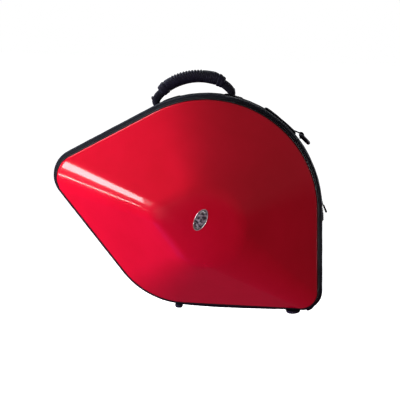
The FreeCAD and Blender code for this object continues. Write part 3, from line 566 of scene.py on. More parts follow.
def plush(name, dark, light, pile=1400.0):
    """Short-pile plush: fibre clumps, brushed patches and a soft sheen."""
    made, tree, shader = start_material(name, Sheen_Weight=0.6, Sheen_Roughness=0.5,
                                        Specular_IOR_Level=0.1)
    where = coordinates(tree, "Object")
    fibres = noise(tree, where, pile, 4.0, 0.7)
    brushed = noise(tree, where, 22.0, 4.0)
    mixed = weighted(tree, fibres, 0.55, brushed, 0.45)
    surface(tree, shader, ramp(tree, mixed, dark, light, 0.35, 0.7), span(tree, fibres, 0.8, 1.0))
    bump(tree, shader, mixed, 0.0009, 0.8)
    return made


def enamel():
    """Dark mottled enamel of the badge plate."""
    made, tree, shader = start_material("badge_enamel", Coat_Weight=0.8, Coat_Roughness=0.08)
    where = coordinates(tree, "Object")
    flecks = node(tree, "ShaderNodeTexVoronoi", Vector=where, Scale=230.0).outputs["Distance"]
    clouds = noise(tree, where, 160.0, 5.0, 0.7)
    mixed = math_node(tree, "MULTIPLY", flecks, clouds)
    surface(tree, shader, ramp(tree, mixed, (0.008, 0.010, 0.012), (0.42, 0.40, 0.38), 0.2, 0.46),
            span(tree, clouds, 0.2, 0.4))
    bump(tree, shader, mixed, 0.0002)
    return made


LOOKS = {
    "shell": gelcoat(),
    "band": fabric("ballistic_nylon", (0.0025, 0.003, 0.007), (0.012, 0.015, 0.026), 0.0013),
    # binding strip: real black binding, coloured darker than the band as painted shade for the
    # recess between the edge bead and the band
    "shade_darkened_trim": fabric("binding_tape_shade_dark", (0.0012, 0.0012, 0.003), (0.006, 0.006, 0.010), 0.0009),
    "zip": fabric("zip_tape_weave", (0.003, 0.003, 0.005), (0.016, 0.016, 0.020), 0.0007),
    "thread": fabric("bonded_thread", (0.006, 0.006, 0.010), (0.050, 0.052, 0.065), 0.0003,
                     "Object", depth=0.00005),
    "webbing": webbing_material(),
    "bead": rubber("piping_bead", (0.003, 0.003, 0.004), (0.012, 0.012, 0.015), 1200.0,
                   (0.35, 0.5), 0.4),
    "foot": rubber("foot_rubber_grain", (0.010, 0.010, 0.016), (0.040, 0.042, 0.055), 800.0),
    "grip": rubber("grip_rubber_grain", (0.003, 0.003, 0.008), (0.014, 0.014, 0.030), 1100.0,
                   (0.5, 0.7)),
    "coil": rubber("coil_nylon", (0.004, 0.004, 0.005), (0.020, 0.020, 0.024), 1500.0,
                   (0.3, 0.45), 0.5),
    "black_metal": metal("black_coated_metal", (0.012, 0.012, 0.014), (0.035, 0.035, 0.040),
                         (0.3, 0.5), wear_colour=(0.22, 0.21, 0.20)),
    "steel": metal("dark_rivet_steel", (0.05, 0.05, 0.055), (0.12, 0.12, 0.13), (0.28, 0.5)),
    "bright": metal("satin_bright_metal", (0.55, 0.55, 0.56), (0.82, 0.82, 0.83), (0.16, 0.32)),
    "enamel": enamel(),
    "plush": plush("lining_plush", (0.010, 0.010, 0.013), (0.050, 0.050, 0.058)),
    "foam": plush("foam_cover_plush", (0.014, 0.014, 0.018), (0.066, 0.066, 0.076), 1100.0),
}


def dress(item, look, body=None, replaced=()):
    """Give a piece its material, its body and the CAD nodes it stands for."""
    item.data.materials.clear()
    item.data.materials.append(LOOKS[look])
    if replaced:
        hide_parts(*replaced)
    if body is not None:
        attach(item, body)
    return item


def sew(name, size, frames, body=None):
    """Stitches of thread, one at each frame; size is (long, wide, tall)."""
    return dress(scatter(name, pod(*size, 6, 4), frames), "thread", body)


# ---------------------------------------------------------------- shells and linings

def bezier(first, control, last, steps):
    t = np.linspace(0, 1, steps)[:, None, None]
    return (1 - t) ** 2 * first + 2 * t * (1 - t) * control + t ** 2 * last


def skin_rows(side, margin, lip=3.5):
    """Rows of one face of the shell, from the crown's middle out to the rim."""
    inset = -1.3 * margin
    rim_points, _ = outline(grown(RIM, inset))
    dome_points, _ = outline(grown(DOME, inset), DOME_CENTRE)
    top = DOME_DEPTH - margin
    edge = at_depth(rim_points, RIM_DEPTH + lip, side)
    shoulder = at_depth(dome_points, top, side)

    def crown(share):
        points = dome_points + share * (DOME_CENTRE - dome_points)
        return at_depth(points, top + CROWN_RISE * (1 - (1 - share) ** 2), side)

    slope = edge - shoulder
    length = np.linalg.norm(slope, axis=1)[:, None]
    rows = [crown(share) for share in (0.97, 0.9, 0.8, 0.7, 0.6, 0.5, 0.4, 0.3)]
    rows += list(bezier(crown(0.2)[None], shoulder[None],
                        (shoulder + slope / length * SHOULDER)[None], 12))
    start, stop = shoulder + slope / length * SHOULDER, edge - slope / length * 7
    rows += [start + (stop - start) * t for t in np.linspace(0, 1, 9)[1:-1]]
    rows += list(bezier(stop[None], edge[None],
                        at_depth(rim_points, RIM_DEPTH + 0.6, side)[None], 7))
    return rows, rim_points


SHELL_THICK, LINING_OUT, LINING_IN = 3.0, 3.5, 5.5    # depths below the shell's outer face


def shell_skin(side, prefix, body):
    outer, rim_points = skin_rows(side, 0.0)
    inner, inner_rim = skin_rows(side, SHELL_THICK)
    edge = [at_depth(rim_points * 0.88 + inner_rim * 0.12, RIM_DEPTH, side),
            at_depth(rim_points * 0.12 + inner_rim * 0.88, RIM_DEPTH, side)]
    made = loft(prefix + "_shell_skin", outer + edge + inner[::-1], 60)
    return dress(made, "shell", body, (prefix + "_shell",))


def lining_skin(side, prefix, body):
    """Plush lining: follows the inside of the shell."""
    outer, _ = skin_rows(side, LINING_OUT, lip=1.0)
    inner, _ = skin_rows(side, LINING_IN, lip=1.0)
    made = loft(prefix + "_plush_lining", outer + inner[::-1])
    return dress(made, "plush", body, (prefix + "_lining",))


# ---------------------------------------------------------------- bands, piping and zip

# (depth, share of the way from rim to crest, extra) from the shell's edge to the zip
TRIM_PROFILE = ((34.4, 0.0, -4.0), (34.6, 0.0, -1.0), (34.2, 0.10, 0.0), (33.2, 0.26, 0.0),
                (31.8, 0.42, 0.0), (30.4, 0.50, 0.0), (29.2, 0.50, 0.0), (28.6, 0.42, 0.0),
                (28.6, 0.1, 0.0), (29.5, 0.0, -4.0))
BAND_PROFILE = ((29.6, 0.0, -3.0), (29.8, 0.30, 0.0), (29.7, 0.50, 0.0), (29.0, 0.66, 0.0),
                (27.8, 0.80, 0.0), (26.0, 0.91, 0.0), (23.6, 0.98, 0.0), (21.0, 1.0, 0.0),
                (18.0, 1.0, 0.0), (15.4, 1.0, 0.0), (13.4, 0.975, 0.0), (11.9, 0.93, 0.0),
                (10.8, 0.88, 0.0), (9.9, 0.88, 0.0), (9.0, 0.87, 0.0), (8.3, 0.82, 0.0),
                (8.1, 0.74, 0.0), (8.4, 0.6, 0.0), (8.8, 0.3, -1.0), (9.2, 0.0, -5.6),
                (14.0, 0.0, -6.0), (22.0, 0.0, -6.0), (28.6, 0.0, -5.6))
FINE = 3
BAND_SAG = 3.2      # the padding hangs a little between the feet
BAND_SEAMS = ((28.0, 0.78, -0.1), (10.6, 0.88, 0.0))    # depth, share, lift of the stitches
PUCKERED = (10.6, 28.2)                                 # depths where the padding pulls in


def profile_rows(profile, side, soften=None):
    rows = []
    for depth, share, extra in profile:
        points, directions = outline(sizes_at(share, extra), fine=FINE)
        hang = np.clip((points[:, 0] - GUSSET_LEFT) / (GUSSET_RIGHT - GUSSET_LEFT), 0, 1)
        low = (np.sin(directions) < -0.9) * min(1.0, 2.5 * share)
        points[:, 1] -= low * BAND_SAG * np.sin(math.pi * hang ** 0.7)
        if soften is not None:
            push = soften(lengths_along(points), depth, share)
            points = points + push[:, None] * np.column_stack([np.cos(directions),
                                                               np.sin(directions)])
        rows.append(at_depth(points, depth, side))
    return rows


def puckers(along, depth, share):
    """The padding pulls in a little at every stitch and is never quite even."""
    if share < 0.6:
        return np.zeros_like(along)
    near_seam = sum(math.exp(-((depth - seam) / 1.3) ** 2) for seam in PUCKERED)
    return (ripple(along, (4.2, 0.16)) * near_seam - 0.25 * near_seam
            + ripple(along, (61.0, 0.12), (23.0, 0.08)) - 0.25)


def band_cover(side, prefix, body):
    cover = hoop(prefix + "_band_cover", profile_rows(BAND_PROFILE, side, puckers))
    dress(cover, "band", body, (prefix + "_band",))
    # the binding strip is real; its darker colour is painted shade for the recess next to the
    # shell's edge
    shade_darkened_trim = hoop(prefix + "_band_binding", profile_rows(TRIM_PROFILE, side))
    dress(shade_darkened_trim, "shade_darkened_trim", body, (prefix + "_band",))
    seams = []
    for depth, share, lift in BAND_SEAMS:
        points, angles = walk(sizes_at(share, lift), 4.2)
        seams += frames_along(points, angles, side * depth)
    sew(prefix + "_band_stitches", (3.1, 0.75, 0.6), seams, body)


def edge_bead(side, prefix, body):
    """Round bead between the shell's edge and the band."""
    rows = []
    for turn in full_turn(12):
        points, _ = outline(sizes_at(0, 1.15 + 1.1 * math.cos(turn)), fine=2)
        rows.append(at_depth(points, RIM_DEPTH + 1.1 + 1.1 * math.sin(turn), side))
    made = hoop(prefix + "_edge_bead", rows)
    dress(made, "bead", body, (prefix + "_edge_piping",))


def zip_tape(side, prefix, body):
    """Woven tape that carries the coil, open along the hinge."""
    section = ((0.2, -1.3), (3.4, -1.2), (4.6, 0.3), (9.0, 0.6), (9.0, -0.6), (4.8, -0.9),
               (3.4, -1.9), (0.2, -2.0))
    rows = []
    for depth, lift in section:
        points, _ = outline(sizes_at(CHAIN_SHARE, lift), fine=2)
        keep = outside_gusset(points)
        first = int(np.argmax(~keep))
        rolled = np.roll(points, -first, axis=0)
        rows.append(at_depth(rolled[np.roll(keep, -first)], depth, side))
    made = loft(prefix + "_zip_tape_weave", np.array(rows).transpose(1, 0, 2), 40)
    dress(made, "zip", body, (prefix + "_zip_tape",))


TOOTH_PITCH, TOOTH_SIZE, TOOTH_DEPTH = 1.6, (3.9, 0.92, 2.3), 1.35
CORD_PITCH, CORD_DEPTH = 2.4, 3.3


def zip_coil(side, prefix, body):
    """Coil teeth, the two rows half a tooth apart, and the cord sewn through them."""
    points, angles = walk(sizes_at(CHAIN_SHARE), TOOTH_PITCH, outside_gusset,
                          0.25 + 0.25 * side)
    across = np.array([[0, 1, 0], [1, 0, 0], [0, 0, 1]])
    frames = frames_along(points, angles, side * TOOTH_DEPTH, across)
    teeth = scatter(prefix + "_zip_coil_teeth", pod(*TOOTH_SIZE), frames)
    dress(teeth, "coil", body, (prefix + "_zip_teeth",))
    points, angles = walk(sizes_at(CHAIN_SHARE, 1.0), CORD_PITCH, outside_gusset)
    sew(prefix + "_zip_sewn_cord", (2.3, 0.9, 0.7),
        frames_along(points, angles, side * CORD_DEPTH), body)


GUSSET_HEIGHT, GUSSET_WIDE, GUSSET_CHANNELS = 7.7, 19.0, (-6.2, 6.2)


def hinge_gusset():
    """Soft hinge: one padded strip between the two halves."""
    path = np.column_stack([np.linspace(GUSSET_LEFT - 6, GUSSET_RIGHT + 6, 150),
                            np.full(150, GUSSET_HEIGHT)])
    share = np.linspace(0, 1, 150)
    swell = np.clip(np.sin(math.pi * share) * 3.2, 0, 1) ** 0.5
    sections = []
    for place, wide in enumerate(swell):
        section = rounded_section(GUSSET_WIDE, 3.0 + 4.0 * wide, 3.0, 40)
        engrave(section, (0.0,), 0.5, 1.4)
        engrave(section, GUSSET_CHANNELS, 0.35, 0.9)
        section[:, 1] += 0.12 * math.sin(place * 1.9) * np.sign(section[:, 1])
        sections.append(section)
    made = planar_sweep("hinge_gusset_pad", path, 0.0, sections)
    dress(made, "band", None, ("rear_gusset", "front_gusset"))
    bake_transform(made)


# ---------------------------------------------------------------- feet

def foot(prefix, place, body):
    """Turned rubber foot; the right one is drawn out towards the corner."""
    node_name = "%s_foot_%s" % (prefix, place)
    low, high = in_mm(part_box(node_name))
    middle = (low + high) / 2
    size, tall = (high[0] - low[0]) / 2, high[2] - low[2]
    if place == "left":
        side_profile = ((size - 1.9, 0.0), (size - 1.1, 0.4), (size - 0.8, 1.2),
                        (size - 0.45, tall * 0.5), (size, tall * 0.82), (size, tall))
    else:
        side_profile = ((size * 0.52, 0.0), (size * 0.68, 0.5), (size * 0.82, tall * 0.22),
                        (size * 0.93, tall * 0.5), (size * 0.985, tall * 0.75), (size, tall))
    bore = ((2.4, tall), (2.4, 3.2), (4.7, 3.0), (4.8, 0.3), (5.2, 0.0))
    profile = bore + side_profile
    turned = lathe(node_name + "_moulding", profile, (middle[0], middle[1], low[2]), sharp=50)
    if place == "right":
        for vertex in turned.data.vertices:
            out = vertex.co.x / MM - middle[0]
            vertex.co.x += max(0.0, abs(out) - 6.0) * (0.5 if out > 0 else 0.2) * MM
    dress(turned, "foot", body, (node_name,))


# ---------------------------------------------------------------- inside

FOAM_GAP = 7.65    # from the outline of the shell in to the foam


def foam_insert(name, node_name, side, near, far, well, body):
    """Covered foam plate with a rolled edge and a round well, creased by shallow channels."""
    slope_top = DOME_DEPTH - LINING_IN
    rows = []
    steps = ((0.0, far), (0.0, near + 4.0), (1.2, near + 1.6), (3.6, near + 0.4), (7.0, near))

    def outer(inset, depth):
        share = (depth - RIM_DEPTH) / (slope_top - RIM_DEPTH)
        sizes = {key: RIM[key] + share * (DOME[key] - RIM[key]) - FOAM_GAP - inset
                 for key in KEYS}
        centre = BELL_CENTRE + share * (DOME_CENTRE - BELL_CENTRE)
        return outline(sizes, centre)[0]

    outer_edge = outer(0, near)
    circle_turn = np.arctan2(outer_edge[:, 1] - DOME_CENTRE[1], outer_edge[:, 0] - DOME_CENTRE[0])

    def hole(radius):
        return DOME_CENTRE + radius * np.column_stack([np.cos(circle_turn), np.sin(circle_turn)])

    for inset, depth in steps:
        rows.append(at_depth(outer(inset, depth), depth, side))
    rim_in, rim_out = hole(well + 5), outer(7.0, near)
    for share in np.linspace(0.08, 0.92, 9):
        points = rim_out + share * (rim_in - rim_out)
        swell = 1.6 * math.sin(math.pi * share) - 1.1 * math.exp(-((share - 0.5) / 0.06) ** 2)
        rows.append(at_depth(points, near - swell * 0.8, side))
    for radius, depth in ((well + 4, near), (well + 1.4, near + 0.8), (well, near + 3),
                          (well, far)):
        rows.append(at_depth(hole(radius), depth, side))
    made = hoop(name, rows, 70)
    dress(made, "foam", body, (node_name,))


PAD_SWELL, PAD_CUTS = 2.2, 26


def block_pad(name, node_name, groove=None):
    """Upholstered block: crowned faces, pulled-in corners, piped seam; may have a groove."""
    low, high = in_mm(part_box(node_name))
    middle, half = (low + high) / 2, (high - low) / 2
    work = bmesh.new()
    bmesh.ops.create_cube(work, size=2.0)
    bmesh.ops.subdivide_edges(work, edges=work.edges[:], cuts=PAD_CUTS, use_grid_fill=True)
    for vert in work.verts:
        unit = np.array(vert.co)
        size = half - PAD_SWELL
        point = unit * size
        radius = min(7.0, size.min() * 0.8)
        core = np.clip(point, -(size - radius), size - radius)
        away = point - core
        reach = np.linalg.norm(away)
        if reach > 1e-6:
            point = core + away / reach * min(reach, radius)
        inside = np.abs(unit) < 0.999
        puff = np.prod(np.cos(0.46 * math.pi * np.abs(unit[inside]))) if inside.any() else 0.0
        point = point + np.where(inside, 0, np.sign(unit)) * PAD_SWELL * puff ** 0.6
        if groove is not None and unit[1] < -0.2:
            dip = math.sqrt(max(0.0, groove ** 2 - point[2] ** 2))
            point[1] += dip * min(1.0, (-unit[1] - 0.2) / 0.8)
        vert.co = Vector((middle + point) * MM)
    made = built(name, work)
    made.data.shade_smooth()
    dress(made, "foam", BASE, (node_name,))
    return made


def box_stitches(centre, along, across, long, wide, pitch=3.4):
    """Frames of a sewn rectangle with a cross in it, on a flat patch."""
    along, across = np.array(along, float), np.array(across, float)
    out = np.cross(along, across)
    half = (long / 2, wide / 2)
    corners = [(-half[0], -half[1]), (half[0], -half[1]), (half[0], half[1]), (-half[0], half[1])]
    runs = list(zip(corners, corners[1:] + corners[:1]))
    runs += [(corners[0], corners[2]), (corners[1], corners[3])]
    frames = []
    for start, stop in runs:
        start, stop = np.array(start), np.array(stop)
        count = max(2, int(np.linalg.norm(stop - start) / pitch))
        way = (stop - start) / np.linalg.norm(stop - start)
        first = way[0] * along + way[1] * across
        for step in range(count):
            place = start + (stop - start) * (step + 0.5) / count
            frames.append((np.array(centre) + place[0] * along + place[1] * across,
                           np.array([first, np.cross(out, first), out])))
    return frames


def retaining_strap():
    low, high = in_mm(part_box("retaining_strap"))
    x, y = (low[0] + high[0]) / 2, (low[1] + high[1]) / 2
    heights = np.linspace(low[2] - 1, high[2] + 1, 60)
    share = np.linspace(-1, 1, 60)
    rows = []
    section = rounded_section(high[0] - low[0], 1.9, 6.0, 32)
    for z, s in zip(heights, share):
        out = -1.2 * math.cos(s * math.pi / 2)
        rows.append([(x + a, y + out + b, z) for a, b in section])
    strap = loft("retaining_strap_webbing", rows)
    dress(strap, "webbing", BASE, ("retaining_strap",))
    frames = []
    for z in (low[2] + 7, high[2] - 7):
        frames += box_stitches((x, y - 1.35, z), (1, 0, 0), (0, 0, 1), 22, 9)
    sew("retaining_strap_stitches", (2.6, 0.7, 0.55), frames, BASE)


# ---------------------------------------------------------------- zip sliders and pulls

def placed(origin, angle, lean=0.0, shift=0.0):
    """Matrix (millimetres) of a local frame: X outwards, Y over the depth, Z along the zip."""
    turn = Matrix.Rotation(-math.radians(angle), 4, "Y")
    tip = Matrix.Translation(Vector((shift, 0, 0))) @ Matrix.Rotation(-math.radians(lean), 4, "Y")
    return Matrix.Translation(Vector(origin)) @ turn @ tip


PULL_PIVOT = 1.2 + 0.4 + 1.2 + 0.3 + 0.9


def slider(node_name, place):
    plates = [((1.6, -4.4, -7.3), (2.8, 4.4, 7.3)), ((-2.8, -4.4, -7.3), (-1.6, 4.4, 7.3)),
              ((0.9, -4.6, -6.6), (2.4, -3.7, 6.6)), ((0.9, 3.7, -6.6), (2.4, 4.6, 6.6)),
              ((-2.4, -4.6, -6.6), (-0.9, -3.7, 6.6)), ((-2.4, 3.7, -6.6), (-0.9, 4.6, 6.6)),
              ((-1.8, -0.4, -2.5), (1.8, 0.4, 2.5))]
    body = bevelled_boxes(node_name + "_plates", plates, 0.45, place)
    turns = np.linspace(-1, 1, 30)
    arch = [(2.6 + 3.2 * (1 - abs(t) ** 3.2), t * 4.9) for t in turns]
    rows = []
    section = rounded_section(2.5, 1.0, 3.5, 14)
    for (x, z), (dx, dz) in zip(arch, headings(np.array(arch))):
        rows.append([tuple(place @ Vector((x + dz * b, a, z - dx * b))) for a, b in section])
    bridge = loft(node_name + "_bridge", rows)
    made = join(node_name + "_body", [body, bridge])
    dress(made, "black_metal", node_name, (node_name,))


def pull(node_name, place):
    """Pull: a wire loop through the bridge, and a moulded tip with finger ridges."""
    loop = []
    for y, z in ((0, 0), (2.2, 0), (3.1, -0.9), (3.2, -3), (3.2, -8), (3.2, -11.5),
                 (-3.2, -11.5), (-3.2, -8), (-3.2, -3), (-3.1, -0.9), (-2.2, 0)):
        loop.append(tuple(place @ Vector((0, y, z))))
    wire = tube(node_name + "_wire", loop, 0.95, 12, closed=True)
    dress(wire, "black_metal", node_name, (node_name,))
    rows = []
    for t in np.linspace(0, 1, 60):
        z = -5.2 - 18.8 * t
        end = min(1.0, (1 - t) * 9 + 0.35, t * 12 + 0.5)
        ridge = 0.28 * math.cos(t * 2 * math.pi * 6) if 0.2 < t < 0.85 else 0.0
        section = rounded_section((7.0 + 1.0 * t) * end ** 0.4, (4.0 + 0.8 * t + ridge) * end,
                                  4.0, 28)
        rows.append([tuple(place @ Vector((b + 0.8, a, z))) for a, b in section])
    tip = loft(node_name + "_moulded_tip", rows)
    dress(tip, "grip", node_name)


def zip_sliders():
    chain = sizes_at(CHAIN_SHARE)["bell"]
    turned = math.degrees(math.asin(24.0 / chain))
    upper = (BELL_CENTRE[0] + chain * math.cos(math.radians(turned)), 0.0, BELL_CENTRE[1] + 24.0)
    slider("upper_slider", placed(upper, turned))
    pull("upper_pull", placed(upper, turned, 19.0, PULL_PIVOT))
    side = math.radians(NORMALS["right"])
    drop = (8.0 - chain * math.sin(side)) / math.cos(side)
    lower = (BELL_CENTRE[0] + chain * math.cos(side) - drop * math.sin(side), 0.0,
             BELL_CENTRE[1] + chain * math.sin(side) + drop * math.cos(side))
    slider("lower_slider", placed(lower, NORMALS["right"]))
    pull("lower_pull", placed(lower, NORMALS["right"], 0.0, PULL_PIVOT))


# ---------------------------------------------------------------- handle

HANDLE_TURN = math.radians(7.5)
HANDLE_DEPTH = 19.0
ARCH_BEND, ARCH_MIDDLE = 111.85, 179.05
GRIP_FIRST, GRIP_LAST, GRIP_HALF = -37.0, 31.0, 13.6      # degrees, and half the width
TEETH_FROM, TEETH_TO, TEETH_PITCH = -24.0, 10.0, 5.8
RIB_PITCH, COLLAR_HALF, STRAP_SEAMS = 4.6, 14.4, (-7.5, 7.5)


def handle_point(t, v):
    """Handle frame (along the case, away from the bell centre) to (x, z)."""
    return (BELL_CENTRE[0] + t * math.cos(HANDLE_TURN) - v * math.sin(HANDLE_TURN),
            BELL_CENTRE[1] + t * math.sin(HANDLE_TURN) + v * math.cos(HANDLE_TURN))


def arch_point(angle, bend):
    """Point (x, z) on the handle's arch, bend away from the arch's own centre."""
    return handle_point(bend * math.sin(angle), ARCH_MIDDLE + bend * math.cos(angle))


def squared(value, power):
    """Push a sine or cosine outwards, so that a round section gets flatter sides."""
    return math.copysign(abs(value) ** power, value)


def handle_grip():
    """Moulded grip: teeth along its back, slanting side ribs, raised collars at both ends."""
    steps, sides = 330, 72
    sweep = np.linspace(GRIP_FIRST, GRIP_LAST, steps)
    upper = np.interp(sweep, (-40, -37, -31, -18, 4, 14, 22, 30, 34),
                      (13.6, 16.0, 17.6, 16.2, 15.0, 15.6, 16.6, 14.2, 12.2))
    lower = np.interp(sweep, (-40, -30, -15, 0, 20, 34), (-8.6, -9.8, -11.6, -12.2, -12.0, -10.2))
    rows = []
    for angle, top, bottom in zip(sweep, upper, lower):
        length = math.radians(angle) * ARCH_BEND
        middle, half = (top + bottom) / 2, (top - bottom) / 2
        from_end = math.radians(min(angle - GRIP_FIRST, GRIP_LAST - angle)) * ARCH_BEND
        groove = math.exp(-((from_end - 9.0) / 0.8) ** 2)
        smooth_end = min(1.0, max(0.0, (from_end - 9.0) / 2.0))
        ring = []
        for turn in full_turn(sides):
            up, across = math.sin(turn), math.cos(turn)
            radial, wide = squared(up, 0.85) * half, squared(across, 0.85) * GRIP_HALF
            relief = -0.9 * groove
            back = max(0.0, up - 0.55) / 0.45
            if TEETH_FROM < angle < TEETH_TO:
                tooth = (length / TEETH_PITCH) % 1.0
                relief += back ** 0.5 * 2.9 * (1 - abs(2 * tooth - 1)) - back * 1.4
            slant = math.sin(2 * math.pi * (length + 7.0 * up) / RIB_PITCH)
            relief += 0.5 * slant * (1 - back) * min(1.0, abs(across) * 1.6) * smooth_end
            scale = 1 + relief / 13.5
            x, z = arch_point(math.radians(angle), ARCH_BEND + middle + radial * scale)
            ring.append((x, HANDLE_DEPTH + wide * scale, z))
        rows.append(ring)
    made = loft("handle_grip_moulding", rows, 55)
    dress(made, "grip", "handle", ("handle_grip",))


def grip_collar(place, start, stop, tops, bottoms):
    """Ring of harder rubber over the end of the grip, with a step and a rolled end."""
    rows = []
    for share in np.linspace(0, 1, 26):
        angle = math.radians(start + (stop - start) * share)
        top, bottom = np.interp(share, (0, 1), tops), np.interp(share, (0, 1), bottoms)
        middle, half = (top + bottom) / 2, (top - bottom) / 2
        rolled = 1.0 - 0.16 * max(0.0, (share - 0.86) / 0.14) ** 2 - 0.05 * max(
            0.0, (0.12 - share) / 0.12) ** 2 - 0.05 * math.exp(-((share - 0.5) / 0.06) ** 2)
        ring = []
        for turn in full_turn(60):
            up, across = math.sin(turn), math.cos(turn)
            x, z = arch_point(angle, ARCH_BEND + middle + squared(up, 0.8) * half * rolled)
            ring.append((x, HANDLE_DEPTH + squared(across, 0.8) * COLLAR_HALF * rolled, z))
        rows.append(ring)
    name = "grip_collar_" + place
    made = loft(name + "_ring", rows, 45)
    dress(made, "grip", "handle", (name,))


STRAP_SHARES, STRAP_THICK = (0, 0.35, 0.6, 0.82, 1.0), (16.0, 18.6, 19.0, 17.0, 12.5)
STRAP_ENDS = {
    "left": ((-56, 275), (-66, 270), (-75.5, 263.5), (-83.5, 256.5), (-88.8, 249.0),
             (-89.4, 242.0), (-86.4, 236.0)),
    "right": ((44, 281.5), (54, 276.4), (63, 270.2), (70.8, 263.0), (76.6, 255.5), (79.4, 248.0),
              (78.6, 240.0)),
}


def handle_strap():
    """Padded webbing at both ends of the grip, curling down to where it is sewn to the band."""
    parts, sewn = [], []
    for place, points in STRAP_ENDS.items():
        path = smooth_path([handle_point(*p) for p in points], 70)
        share = np.linspace(0, 1, 70)
        if place == "right":
            path, share = path[::-1], share[::-1]
        sections = []
        for s in share:
            thick = np.interp(s, STRAP_SHARES, STRAP_THICK)
            section = rounded_section(25.0 - 1.5 * s, thick, 2.9, 44)
            engrave(section, (*STRAP_SEAMS, 0.0), 0.55, 0.9)
            sections.append(section)
        parts.append(planar_sweep("strap_end_" + place, path, HANDLE_DEPTH, sections))
        ahead = headings(path)
        for step in range(14, 62, 3):
            s = share[step]
            thick = np.interp(s, STRAP_SHARES, STRAP_THICK) / 2
            out = np.array([-ahead[step][1], 0, ahead[step][0]])
            way = np.array([ahead[step][0], 0, ahead[step][1]])
            for across in STRAP_SEAMS:
                for face in (-1, 1):
                    middle = np.array([path[step][0], HANDLE_DEPTH + across, path[step][1]])
                    sewn.append((middle + face * out * (thick - 0.55),
                                 np.array([way, [0, 1, 0], out])))
    strap = join("handle_webbing_ends", parts)
    strap.data.shade_smooth()
    dress(strap, "webbing", None,
          ("handle_strap", "handle_anchor_left", "handle_anchor_right"))
    stitches = sew("handle_webbing_stitches", (2.7, 0.8, 0.7), sewn)
    for item in (strap, stitches):
        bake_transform(item)


ROOT_RADIUS, ROOT_STITCHES, ROOT_SEAMS = 255.9, 256.7, (-11.0, 11.0)


def handle_roots():
    """Sewn patches on the band under the webbing, and the rivet caps at the swing axis."""
    for place, middle in (("left", 110.0), ("right", 78.6)):
        angles = np.radians(np.linspace(middle + 4.6, middle - 4.6, 40))
        path = round_bell(ROOT_RADIUS, angles)
        sections = [rounded_section(27.0, 1.5 * min(1.0, 0.35 + 5 * min(s, 1 - s)), 5.0, 32)
                    for s in np.linspace(0, 1, 40)]
        patch = planar_sweep("handle_root_patch_" + place, path, HANDLE_DEPTH, sections)
        dress(patch, "webbing", BASE)
        frames, sewn_at = [], angles[3:-2:3]
        for edge in ROOT_SEAMS:
            frames += frames_along(round_bell(ROOT_STITCHES, sewn_at), sewn_at,
                                   HANDLE_DEPTH + edge)
        sew("handle_root_stitches_" + place, (2.6, 0.8, 0.6), frames, BASE)
    caps = []
    for t, way in ((-97.4, -1), (85.4, 1)):
        x, z = handle_point(t, 254.4)
        axis = (way * math.cos(HANDLE_TURN), 0, way * math.sin(HANDLE_TURN))
        profile = ((4.4, -1.5), (4.4, 0.2), (4.1, 0.8), (3.0, 1.5), (1.6, 1.9), (0.5, 2.0))
        caps.append(lathe("rivet_cap", profile, (x, HANDLE_DEPTH, z), axis, 28, 50))
    made = join("handle_rivet_caps", caps)
    dress(made, "steel", BASE, ("handle_rivets",))


# ---------------------------------------------------------------- shoulder ring, patch, end tab

PATCH_RADIUS, PATCH_SEAMS = 254.6, (-7.6, 7.6)


def ring_parts():
    """Strap ring, the webbing tab that holds it and the padded patch under the tab."""
    depth, angle = 21.0, math.radians(40.0)
    wire, half, leg = 4.4, 11.5, 12.0
    reach = 256.0 + 0.4 + wire + 0.3 + 2.4
    pivot = round_bell(reach, angle)
    place = placed((pivot[0], depth, pivot[1]), -43.0)
    loop = [(0, y) for y in np.linspace(-half + 1.5, half - 1.5, 12)]
    loop += [(x, half) for x in np.linspace(1.5, leg - 1, 8)]
    loop += [(leg + half * math.cos(a), half * math.sin(a)) for a in np.linspace(1.5, -1.5, 30)]
    loop += [(x, -half) for x in np.linspace(leg - 1, 1.5, 8)]
    ring = tube("shoulder_ring_moulding", [tuple(place @ Vector((x, y, 0))) for x, y in loop],
                wire - 0.1, 24, closed=True)
    dress(ring, "grip", "strap_ring", ("strap_ring",))

    wrap = [pivot + 6.1 * np.array([math.cos(angle + a), math.sin(angle + a)])
            for a in np.linspace(-2.7, 1.3, 30)]
    tail = round_bell(np.array([261.5, 258.6, 257.6]), np.radians([42.6, 43.8, 45.0]))
    path = smooth_path(np.vstack([wrap, tail]), 90)
    made = planar_sweep("ring_tab_webbing", path, depth, rounded_section(13.0, 2.6, 5.0, 30))
    dress(made, "webbing", BASE, ("ring_tab",))

    turns = np.radians(np.linspace(62.0, 42.4, 110))
    lift = np.interp(np.linspace(0, 1, 110), (0, 0.05, 0.5, 0.92, 1.0), (1.0, 2.0, 0.9, 1.9, 1.2))
    path = round_bell(PATCH_RADIUS + lift, turns)
    sections = []
    for rise in lift:
        section = rounded_section(22.0, 3.4 + rise, 4.0, 40)
        engrave(section, PATCH_SEAMS, 0.4, 0.9)
        sections.append(section)
    patch = planar_sweep("shoulder_patch_pad", path, depth, sections)
    dress(patch, "band", BASE, ("shoulder_patch",))
    frames, sewn_at = [], turns[4:106:3]
    out = PATCH_RADIUS + 1.5 * lift[4:106:3] + 1.35
    for across in PATCH_SEAMS:
        frames += frames_along(round_bell(out, sewn_at), sewn_at, depth + across)
    sew("shoulder_patch_stitches", (2.6, 0.8, 0.7), frames, BASE)


def zip_end_tab():
    low, high = in_mm(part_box("zip_end_tab"))
    middle_y = (low[1] + high[1]) / 2
    path = smooth_path([(high[0] + 0.5, high[2] + 2.8), (high[0] - 1.3, high[2] - 3.2),
                        (low[0] + 3.6, low[2] + 3.0), (low[0] - 3.0, low[2] + 0.2)], 44)
    sections = [rounded_section(14.0, 5.6 * min(1.0, 0.45 + 4 * (1 - s)), 4.0, 30)
                for s in np.linspace(0, 1, 44)]
    made = planar_sweep("zip_end_tab_webbing", path, middle_y, sections)
    dress(made, "webbing", BASE, ("zip_end_tab",))


# ---------------------------------------------------------------- badge

